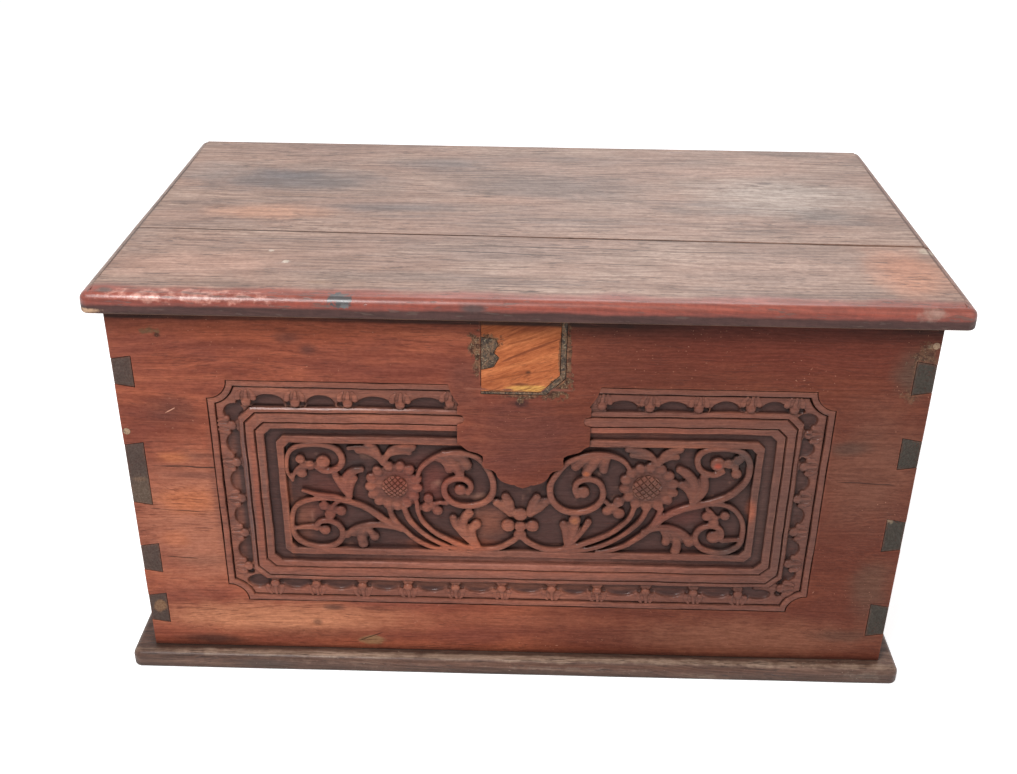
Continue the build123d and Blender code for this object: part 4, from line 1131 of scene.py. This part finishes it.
scrollRight = {
    "ridges": [
        ([(101, 215), (97, 221), (90, 226), (80, 229), (70, 229.5), (60, 228), (50, 224), (43, 219), (37.5, 212.5),
          (33, 205), (29.5, 197), (29, 189), (30.5, 181), (35, 173.5), (42, 168), (51, 165.5), (60, 166.5),
          (69, 170.5), (75, 176.5), (78, 184), (77.5, 192), (74, 199), (67, 202.5), (59, 202), (53.5, 198), (52, 191),
          (54.5, 184.5)], (4, 5, 6, 6, 5.5, 5.5, 5), 5.8),
        ([(73, 227), (67, 218), (62, 209)], (8, 10.5, 9), 5.5),
        ([(80, 226), (78, 219), (77.5, 213)], (7, 8.5, 8), 5.0),
        ([(65, 227), (57, 221), (52, 216)], (7, 9, 9), 5.1),
        ([(85, 174), (80, 179)], (4, 4), 4.2),
        ([(48, 127), (57, 139), (62, 147), (66, 155)], (4, 5, 6), 5.2),
        ([(48, 129), (52, 143), (53, 155)], (6, 9, 10), 5.6),
        ([(47, 129), (45.5, 142), (43, 151)], (6, 8, 8), 5.0),
        ([(3, 138), (9, 131.5), (15, 127.5), (22, 124), (30, 122.5), (40, 123), (50, 126), (62, 130), (75, 136),
          (87, 143), (97, 152), (104, 161), (108, 173)], (5.5, 5, 4.5), 5.6),
        ([(42, 120.5), (55, 122), (70, 125), (84, 131), (96, 139), (107, 149), (115, 159), (120, 172)], (4.5, 4.5,
         5), 5.2),
        ([(75, 120), (90, 124), (103, 130), (114, 139), (123, 149), (129, 159), (133, 172)], (4.5, 4.5, 5), 5.0),
        ([(104, 131), (115, 140), (124, 149), (131, 157), (138, 163.5), (147, 169), (156, 173), (166, 176),
          (176, 179), (186, 183), (195, 188), (203, 196), (209, 206), (210.5, 216), (209, 226), (203, 234),
          (193, 238), (181, 238.5), (170, 236.5), (163.5, 231), (162.5, 223), (166, 215), (172, 211.5), (180, 210.5),
          (186, 214)], (5, 6.5, 7, 6, 6, 5.5, 5), 5.6),
        ([(162, 180), (169, 189), (171, 198), (169.5, 208)], (5, 9, 7), 5.4),
        ([(161, 181), (163, 192), (160, 202), (154, 210), (147, 215)], (6, 10, 10, 7), 5.6),
        ([(160, 185), (156, 193), (151, 198)], (6, 8), 5.0),
        ([(176, 178), (186, 178), (197, 175), (206, 166), (210.5, 155), (211, 145), (209.5, 134), (203, 127),
          (194, 123.5), (184, 124), (174, 128), (168, 135.5), (167.5, 144), (172, 150.5), (180, 153.5),
          (187.5, 151.5), (191.5, 146), (191, 139)], (4, 5, 5.5, 5.5, 5), 5.2),
        ([(193, 137), (202, 138), (210, 139)], (5, 3), 4.6),
        ([(176, 172), (181, 167), (184, 161)], (4, 4), 4.2),
        ([(118, 145), (131, 150), (140, 149.5), (150, 146), (158, 140), (162, 134)], (5, 8, 9), 5.3),
        ([(143, 147), (149, 138), (150.5, 130), (149.5, 123)], (7, 9, 9), 5.0),
        ([(136, 147), (140, 140), (140, 134)], (5, 7, 8), 5.0),
        ([(127, 220), (119, 229), (110, 234), (99, 236)], (4, 8, 7), 5.4),
        ([(119, 227), (111, 229), (103, 229.5)], (5, 7.5, 6), 4.9),
        ([(127, 220), (131, 228), (138, 234), (145, 237)], (4, 8, 8.5), 5.4),
        ([(129, 223), (136, 227.5), (143, 228.5)], (5, 6.5, 6), 4.9),
        ([(11, 164), (14, 173), (17, 181)], (8, 9.5, 7.5), 5.0),
        ([(11, 163), (19, 170), (25, 176)], (8, 11, 8.5), 4.7),
    ],
    "bosses": [
        (59.5, 188, 6, 6.0), (53, 157, 5.5, 6.0), (93, 178, 5, 5.2), (83, 168, 5, 5.2), (94, 165, 5.5, 5.2),
        (89, 172, 4, 4.6), (181, 221.5, 6.5, 6.2), (199.5, 226.5, 4.5, 5.2), (191, 222, 4.5, 5.2),
        (199, 211.5, 4.8, 5.2), (197, 218.5, 3.6, 4.6), (184.5, 141, 6.5, 6.0), (176, 164, 4.5, 5.2),
        (183, 156.5, 5, 5.2), (193, 165, 4.5, 5.2), (184, 162, 3.4, 4.4),
        (13.5, 149, 6, 5.8), (2, 139, 6, 5.6), (2, 149, 5.3, 6.6),
    ],
}

# Sunflowers: middle, eye, petals about it, pitch of the cross-hatching
sunflowers = {
    "left": {"middle": (-114.5, 190.5), "eye": 12.0, "pitch": 3.8, "petal": 10.2, "petals": [
        (-120, 211.5), (-109.5, 211.5), (-101, 208), (-95, 198.5), (-94.5, 189), (-97.5, 180), (-104, 172.5),
        (-113, 169), (-121.5, 171), (-129.5, 174), (-135, 181), (-137.5, 189.5), (-136, 198.5), (-130, 206.5)]},
    "right": {"middle": (118, 195), "eye": 13.4, "pitch": 4.8, "petal": 10.4, "petals": [
        (111, 214.5), (120.5, 216.5), (130, 214), (137.5, 207.5), (142, 199), (142, 190), (137.5, 182),
        (129.5, 175.5), (119, 174), (109, 177), (102, 184), (98, 193), (98.5, 202.5), (103.5, 210)]},
    # Saucer behind the petals: radius, rise, crown. The eye's dome, its level and the slant of its cuts
    "saucer": (20.5, 3.7, 0.4), "petalRise": 5.6, "dome": 0.0032, "eyeLevel": 0.0034, "slant": 42.0,
    "cutDepth": 0.001,
}

# Scalloped band: hollows as across, up, half width, reach; buds as across, up and the way their lobes lie
scallopBand = {
    "depth": 5.8, "railEdge": 25.2, "leftReach": 13.2, "rightReach": 12.8, "lowReach": 13.0, "lowGap": 3.5,
    # Pockets beside the balls: radius, how far aside and inwards, and the shield's half width that they spare
    "pocket": 3.5, "pocketAside": 6.3, "pocketIn": 1.6, "shieldHalf": 67,
    "topHollows": [(-242, -209, 286.5), (-193, -164, 286.5), (-149, -112, 286), (-102, -66, 286.5),
                   (75.5, 108, 287.5), (119, 153, 287.5), (167, 198, 289), (210, 240, 289.5)],
    "leftHollows": [(220, 248), (179, 209), (141, 169), (101, 130)],
    "rightHollows": [(231, 250), (193, 216), (155, 180), (119, 142), (91, 109)],
    "lowHollowEnds": [-246, -234.7, -194.5, -149.7, -105.5, -59.5, -14.7, 33.5, 77.5, 124.4, 170.5, 213.6, 232],
    "cornerHollows": [(-257, 267, 10, 9.5), (256, 270, 10, 8), (-250, 79, 12, 8), (233, 76, 13, 6)],
    # Balls of the buds: across, up, and the way out to the edge of the band
    "buds": ([(x, z, 0, 1) for x, z in (
        (-245, 278), (-201, 277.5), (-154, 278), (-107, 277.5), (-62.5, 280), (72.5, 281), (115, 280), (158.5, 280),
        (204.5, 281.5), (243, 281))]
             + [(x, z, -1, 0) for x, z in ((-260, 253), (-259, 214), (-258, 174.5), (-258.5, 135.5), (-258.5, 96.5))]
             + [(x, z, 1, 0) for x, z in (
                 (258.6, 256), (258.5, 222), (257, 187), (258, 150), (257.4, 113.4), (253.5, 84))]
             + [(x, z, 0, -1) for x, z in (
                 (-234.7, 76.6), (-194.5, 76.5), (-149.7, 75.5), (-105.5, 75.5), (-59.5, 75.8), (-14.7, 76),
                 (33.5, 76.6), (77.5, 76), (124.4, 76), (170.5, 76), (213.6, 75.4))]),
    # One bud: lines across and outwards from its ball, widths, rise
    "bud": [([(0, 0), (0.2, 3.6), (0.5, 7.4), (0.9, 11.5)], (5.0, 4.4, 3.6, 2.8), 6.6),
            ([(-7.0, 4.2), (-6.6, 7.8), (-3.9, 11.5)], (5.4, 5.0, 2.6), 6.4),
            ([(6.8, 4.2), (6.6, 7.8), (4.8, 11.5)], (5.4, 5.0, 2.6), 6.4)],
    "budBase": 1.2, "ball": 4.5, "ballRise": 7.35,
}


def buildMouldings():
    bm = bmesh.new()
    ringSolid(bm, panelFrame["bead"], hollow=True)
    ringSolid(bm, panelFrame["rails"], hollow=False)
    half = panelFrame["half"] / 1000
    cellCuts(bm, 0, -half, half, panelFrame["cutStep"])
    cellCuts(bm, 1, panelFrame["low"] / 1000, panelFrame["high"] / 1000, panelFrame["cutStep"])
    waver(bm, panelFrame["waver"], 24.0)
    waver(bm, panelFrame["waver"] * 0.5, 75.0, 5.0)
    roughen(bm, panelFrame["unevenness"], 70.0)
    carvedPiece("panelMouldings", bm, 28.0)


def scallopCutters():
    bm = bmesh.new()
    band = scallopBand
    edge = band["railEdge"]
    half, low, high = panelFrame["half"], panelFrame["low"], panelFrame["high"]
    top = carving["fieldDepth"] + 1.0

    def scoop(x, z, reachX, reachZ):
        floorRise = carving["fieldDepth"] - band["depth"]
        place = Matrix.Translation((x / 1000, z / 1000, (top + floorRise) / 2000))
        oval = Matrix.Diagonal((reachX / 1000, reachZ / 1000, 1.0, 1.0))
        bmesh.ops.create_cone(bm, cap_ends=True, segments=28, radius1=0.86, radius2=1.04,
                              depth=(top - floorRise) / 1000, matrix=place @ oval)

    for left, right, reach in band["topHollows"]:
        scoop((left + right) / 2, high - edge, (right - left) / 2, reach - (high - edge))
    for lower, upper in band["leftHollows"]:
        scoop(edge - half, (lower + upper) / 2, band["leftReach"], (upper - lower) / 2)
    for lower, upper in band["rightHollows"]:
        scoop(half - edge, (lower + upper) / 2, band["rightReach"], (upper - lower) / 2)
    ends = band["lowHollowEnds"]
    for left, right in zip(ends, ends[1:]):
        scoop((left + right) / 2, low + edge, (right - left) / 2 - band["lowGap"], band["lowReach"])
    for corner in band["cornerHollows"]:
        scoop(*corner)
    # Dark pockets to both sides of every ball
    inwards = band["pocketIn"]
    for x, z, outX, outZ in band["buds"]:
        for side in (-band["pocketAside"], band["pocketAside"]):
            if outZ < 1 or abs(x + side) >= band["shieldHalf"]:
                scoop(x + side * abs(outZ) - outX * inwards, z + side * abs(outX) - outZ * inwards, band["pocket"],
                      band["pocket"])
    return bm


def buildBand():
    plate = bmesh.new()
    ringSolid(plate, panelFrame["plate"], hollow=True)
    bmesh.ops.recalc_face_normals(plate, faces=plate.faces)
    holder = newObject("plate", toMesh("plate", plate))
    cut = holder.modifiers.new("hollows", "BOOLEAN")
    cut.operation = "DIFFERENCE"
    cut.solver = "EXACT"
    cut.use_self = True
    cut.object = newObject("cutters", toMesh("cutters", scallopCutters()))
    bm = fused(shapedForm(holder, cut.object), carving["voxel"] * 1.25, 2)
    roughen(bm, 0.0003, 90.0, 4.0)
    carvedPiece("scallopBand", bm, 60.0)


def buildBuds():
    # A ball on a tapering stem between two leaves, all drawn together at the outer edge
    strokes = []
    for x, z, outX, outZ in scallopBand["buds"]:
        for line, widths, rise in scallopBand["bud"]:
            strokes.append(([(x + across * abs(outZ) + along * outX, z + across * abs(outX) + along * outZ)
                             for across, along in line], widths, rise))
    bm = bmesh.new()
    ridges(bm, strokes, scallopBand["budBase"])
    for x, z, outX, outZ in scallopBand["buds"]:
        ball = scallopBand["ball"]
        button(bm, x, z, ball, scallopBand["ballRise"], ball * 0.6, scallopBand["budBase"])
    bm = fused(bm, carving["voxel"] * 0.75, 1)
    roughen(bm, 0.0002, 150.0, 2.0)
    carvedPiece("scallopBuds", bm, 60.0)


def buildScrollwork(name, work, flower):
    bm = bmesh.new()
    base = carving["base"]
    ridges(bm, work["ridges"], base)
    for x, z, radius, rise in work["bosses"]:
        button(bm, x, z, radius * 1.08, rise, radius * 0.5, base)
    # The sunflower's saucer and petals; its cross-hatched eye is a piece of its own
    middleX, middleZ = flower["middle"]
    button(bm, middleX, middleZ, *sunflowers["saucer"], base)
    for x, z in flower["petals"]:
        way = math.degrees(math.atan2(z - middleZ, x - middleX))
        button(bm, x, z, flower["petal"] / 2, sunflowers["petalRise"], flower["petal"] * 0.26, base, stretch=1.12,
               turn=way)
    bm = fused(bm, carving["voxel"], 2)
    roughen(bm, 0.0003, 110.0, 9.0)
    carvedPiece(name, bm, 70.0)


def buildEye(name, flower):
    # Domed disc, cross-hatched by knife cuts on the slant
    pitch = flower["pitch"] / 1000
    radius = flower["eye"] / 1000
    count = int(2 * radius / pitch) + 2
    bm = bmesh.new()
    bmesh.ops.create_grid(bm, x_segments=count, y_segments=count, size=count * pitch / 2,
                          matrix=Matrix.Rotation(math.radians(sunflowers["slant"]), 4, "Z"))
    bmesh.ops.inset_individual(bm, faces=bm.faces, thickness=pitch * 0.16, depth=sunflowers["cutDepth"],
                               use_even_offset=True)
    bmesh.ops.subdivide_edges(bm, edges=bm.edges[:], cuts=1, use_grid_fill=True)
    for v in bm.verts:
        far = min(math.hypot(v.co.x, v.co.y) / radius, 1.4)
        v.co.z += sunflowers["dome"] * (1.0 - far * far)
    for i in range(28):
        angle = math.tau * i / 28
        normal = Vector((math.cos(angle), math.sin(angle), 0.0))
        slicePlane(bm, normal * radius, normal, clear_outer=True)
    rim = [e for e in bm.edges if e.is_boundary]
    skirt = bmesh.ops.extrude_edge_only(bm, edges=rim)["geom"]
    for v in (g for g in skirt if isinstance(g, bmesh.types.BMVert)):
        v.co.z = -0.004
    bmesh.ops.holes_fill(bm, edges=[e for e in bm.edges if e.is_boundary])
    middleX, middleZ = flower["middle"]
    bmesh.ops.translate(bm, verts=bm.verts, vec=(middleX / 1000, middleZ / 1000, sunflowers["eyeLevel"]))
    roughen(bm, 0.0002, 200.0, 3.0)
    carvedPiece(name, bm, 30.0)


# Boards: copies of the CAD boards with eased edges and hand-planed faces
def mergedCopy(nodeName):
    bm = bmesh.new()
    bm.from_mesh(nodes[nodeName].data)
    bmesh.ops.remove_doubles(bm, verts=bm.verts, dist=0.00001)
    bmesh.ops.dissolve_limit(bm, angle_limit=math.radians(0.7), verts=bm.verts, edges=bm.edges)
    return bm


def easeEdges(bm):
    chosen = [e for e in bm.edges if len(e.link_faces) == 2 and e.calc_length() > boards["shortestEdge"]
              and e.calc_face_angle(0.0) > math.radians(boards["easedAngle"])]
    bmesh.ops.bevel(bm, geom=chosen, affect="EDGES", offset=boards["easing"], offset_type="OFFSET", segments=2,
                    profile=0.5, material=-1, clamp_overlap=True)


def openPanel(bm):
    # Clears the CAD board's stepped carving and leaves a plain pocket for the carved pieces
    gone = []
    for face in bm.faces:
        spot = face.calc_center_median()
        depth, x, z = (spot.y - faceY) * 1000, spot.x * 1000, (spot.z - bodyLow) * 1000
        besidePatch = abs(x) < boards["patchHalf"] and z > boards["patchLow"]
        across, low, high = boards["panel"]
        if 0.01 < depth < 8.0 and abs(x) < across and low < z < high and not besidePatch:
            gone.append(face)
    bmesh.ops.delete(bm, geom=gone, context="FACES")
    rim = [e for e in bm.edges if e.is_boundary]
    wall = bmesh.ops.extrude_edge_only(bm, edges=rim)["geom"]
    for item in wall:
        if isinstance(item, bmesh.types.BMVert):
            item.co.y = faceY + boards["pocketDepth"]
    floor = [e for e in bm.edges if e.is_boundary]
    bmesh.ops.triangle_fill(bm, use_beauty=True, use_dissolve=False, edges=floor)
    bmesh.ops.bevel(bm, geom=rim, affect="EDGES", offset=0.0005, offset_type="OFFSET", segments=2, profile=0.5,
                    material=-1, clamp_overlap=False)


boards = {
    "quirk": 0.0085, "shoulder": 0.008, "pocketDepth": 0.009, "cell": 0.018, "unevenness": 0.0004,
    "easing": 0.0007, "shortestEdge": 0.006, "easedAngle": 35.0,
    # The panel's half width, lower and upper edge, and the lock patch's half width and lower edge
    "panel": (281, 56, 302), "patchHalf": 43, "patchLow": 290,
}


def softShoulder(bm):
    # The step of the lid's moulding is worn to a gentle slope all along the front
    for v in bm.verts:
        if v.co.z > lidTop - 0.0003 and abs(v.co.y - lidFrontY - boards["quirk"]) < 0.0006:
            v.co.y += boards["shoulder"]


def dressBoard(nodeName, pieceName, finish, body):
    bm = mergedCopy(nodeName)
    if nodeName == "front_board":
        openPanel(bm)
    if nodeName == "lid_front_plank":
        softShoulder(bm)
    easeEdges(bm)
    for axis in range(3):
        low = min(v.co[axis] for v in bm.verts)
        high = max(v.co[axis] for v in bm.verts)
        cellCuts(bm, axis, low, high, boards["cell"])
    roughen(bm, boards["unevenness"], 14.0, len(pieceName))
    newPiece(pieceName, bm, finish, body, nodeName, 26.0)


for nodeName, pieceName, finish, body, slotName in (
        ("front_board", "frontBoard", frontFinish, "case", "body_wood"),
        ("back_board", "backBoard", backFinish, "case", "body_wood"),
        ("left_side_board", "leftSideBoard", sideFinish, "case", "body_wood"),
        ("right_side_board", "rightSideBoard", sideFinish, "case", "body_wood"),
        ("base_front_plank", "baseFrontPlank", baseFinish, "case", "base_wood"),
        ("base_back_plank", "baseBackPlank", baseFinish, "case", "base_wood"),
        ("lock_patch", "lockPatch", patchFinish, "case", "patch_wood"),
        ("lock_patch_putty", "lockPatchPutty", puttyLook, "case", "putty"),
        ("lid_front_plank", "lidFrontPlank", lidFinish, "lid", "lid_wood"),
        ("lid_back_plank", "lidBackPlank", lidFinish, "lid", "lid_wood"),
        ("lid_left_batten", "lidLeftBatten", battenFinish, "lid", "lid_wood"),
        ("lid_right_batten", "lidRightBatten", battenFinish, "lid", "lid_wood")):
    dressBoard(nodeName, pieceName, finish, body)
    print("dressed", nodeName)

buildMouldings()
print("mouldings")
buildBand()
print("band")
buildBuds()
print("buds")
for side, work in (("Left", scrollLeft), ("Right", scrollRight)):
    buildScrollwork("scrollwork" + side, work, sunflowers[side.lower()])
    buildEye("sunflowerEye" + side, sunflowers[side.lower()])
    print("scrollwork", side.lower())


# Floor, light and camera
studio = {
    "floorSize": 9.0, "floorColour": (0.82, 0.82, 0.82), "floorLift": 0.66, "worldLight": 0.38,
    "keyPower": 60.0, "keyPlace": (-0.8, -1.5, 2.4), "keySize": 0.9,
    "fillPower": 10.0, "fillPlace": (1.7, -1.5, 1.4), "fillSize": 1.8,
    "rimPower": 12.0, "rimPlace": (0.3, 1.9, 2.0), "rimSize": 1.6,
}
photoCamera = {
    "place": (0.0047114, -1.1347014, 0.8228589), "turn": (61.677331, -0.658654, 1.291643), "lens": 42.86014,
}


def seenDirectly(tree):
    # One for the camera, and for what gloss and glass mirror
    rays = addNode(tree, "ShaderNodeLightPath").outputs
    return maths(tree, "MAXIMUM", maths(tree, "MAXIMUM", rays["Is Camera Ray"], rays["Is Glossy Ray"]),
                 rays["Is Transmission Ray"])


def buildStudio():
    bm = bmesh.new()
    bmesh.ops.create_grid(bm, x_segments=1, y_segments=1, size=studio["floorSize"])
    floor = newObject("floor", toMesh("floor", bm))
    pale = bpy.data.materials.new("paleFloor")
    pale.use_nodes = True
    tree = pale.node_tree
    shader = tree.nodes["Principled BSDF"]
    shader.inputs["Base Color"].default_value = (*studio["floorColour"], 1.0)
    shader.inputs["Roughness"].default_value = 0.9
    shader.inputs["Specular IOR Level"].default_value = 0.1
    # The camera and polished surfaces see the floor a little lighter, so that it meets the white behind it
    shader.inputs["Emission Color"].default_value = (1.0, 1.0, 1.0, 1.0)
    put(tree, shader.inputs["Emission Strength"], maths(tree, "MULTIPLY", seenDirectly(tree), studio["floorLift"]))
    floor.data.materials.append(pale)
    world = bpy.data.worlds.new("paleRoom")
    bpy.context.scene.world = world
    world.use_nodes = True
    tree = world.node_tree
    back = tree.nodes["Background"]
    put(tree, back.inputs["Strength"], maths(tree, "MULTIPLY_ADD", seenDirectly(tree), 1.0 - studio["worldLight"],
                                             studio["worldLight"]))
    back.inputs["Color"].default_value = (1.0, 1.0, 1.0, 1.0)
    for label in ("key", "fill", "rim"):
        lamp = bpy.data.lights.new(label + "Light", "AREA")
        lamp.shape = "DISK"
        lamp.size = studio[label + "Size"]
        lamp.energy = studio[label + "Power"]
        holder = newObject(label + "Light", lamp)
        holder.location = studio[label + "Place"]
        aim = Vector((0.0, -0.05, 0.2)) - holder.location
        holder.rotation_euler = aim.to_track_quat("-Z", "Y").to_euler()


def buildCamera():
    lens = bpy.data.cameras.new("photoCamera")
    lens.sensor_fit = "HORIZONTAL"
    lens.sensor_width = 36.0
    lens.lens = photoCamera["lens"]
    lens.clip_start = 0.05
    lens.clip_end = 60.0
    camera = newObject("photoCamera", lens)
    camera.location = photoCamera["place"]
    camera.rotation_euler = [math.radians(a) for a in photoCamera["turn"]]
    bpy.context.scene.camera = camera
    bpy.context.scene.view_settings.view_transform = "Standard"


buildStudio()
buildCamera()
print("studio and camera placed")

bpy.context.view_layer.update()
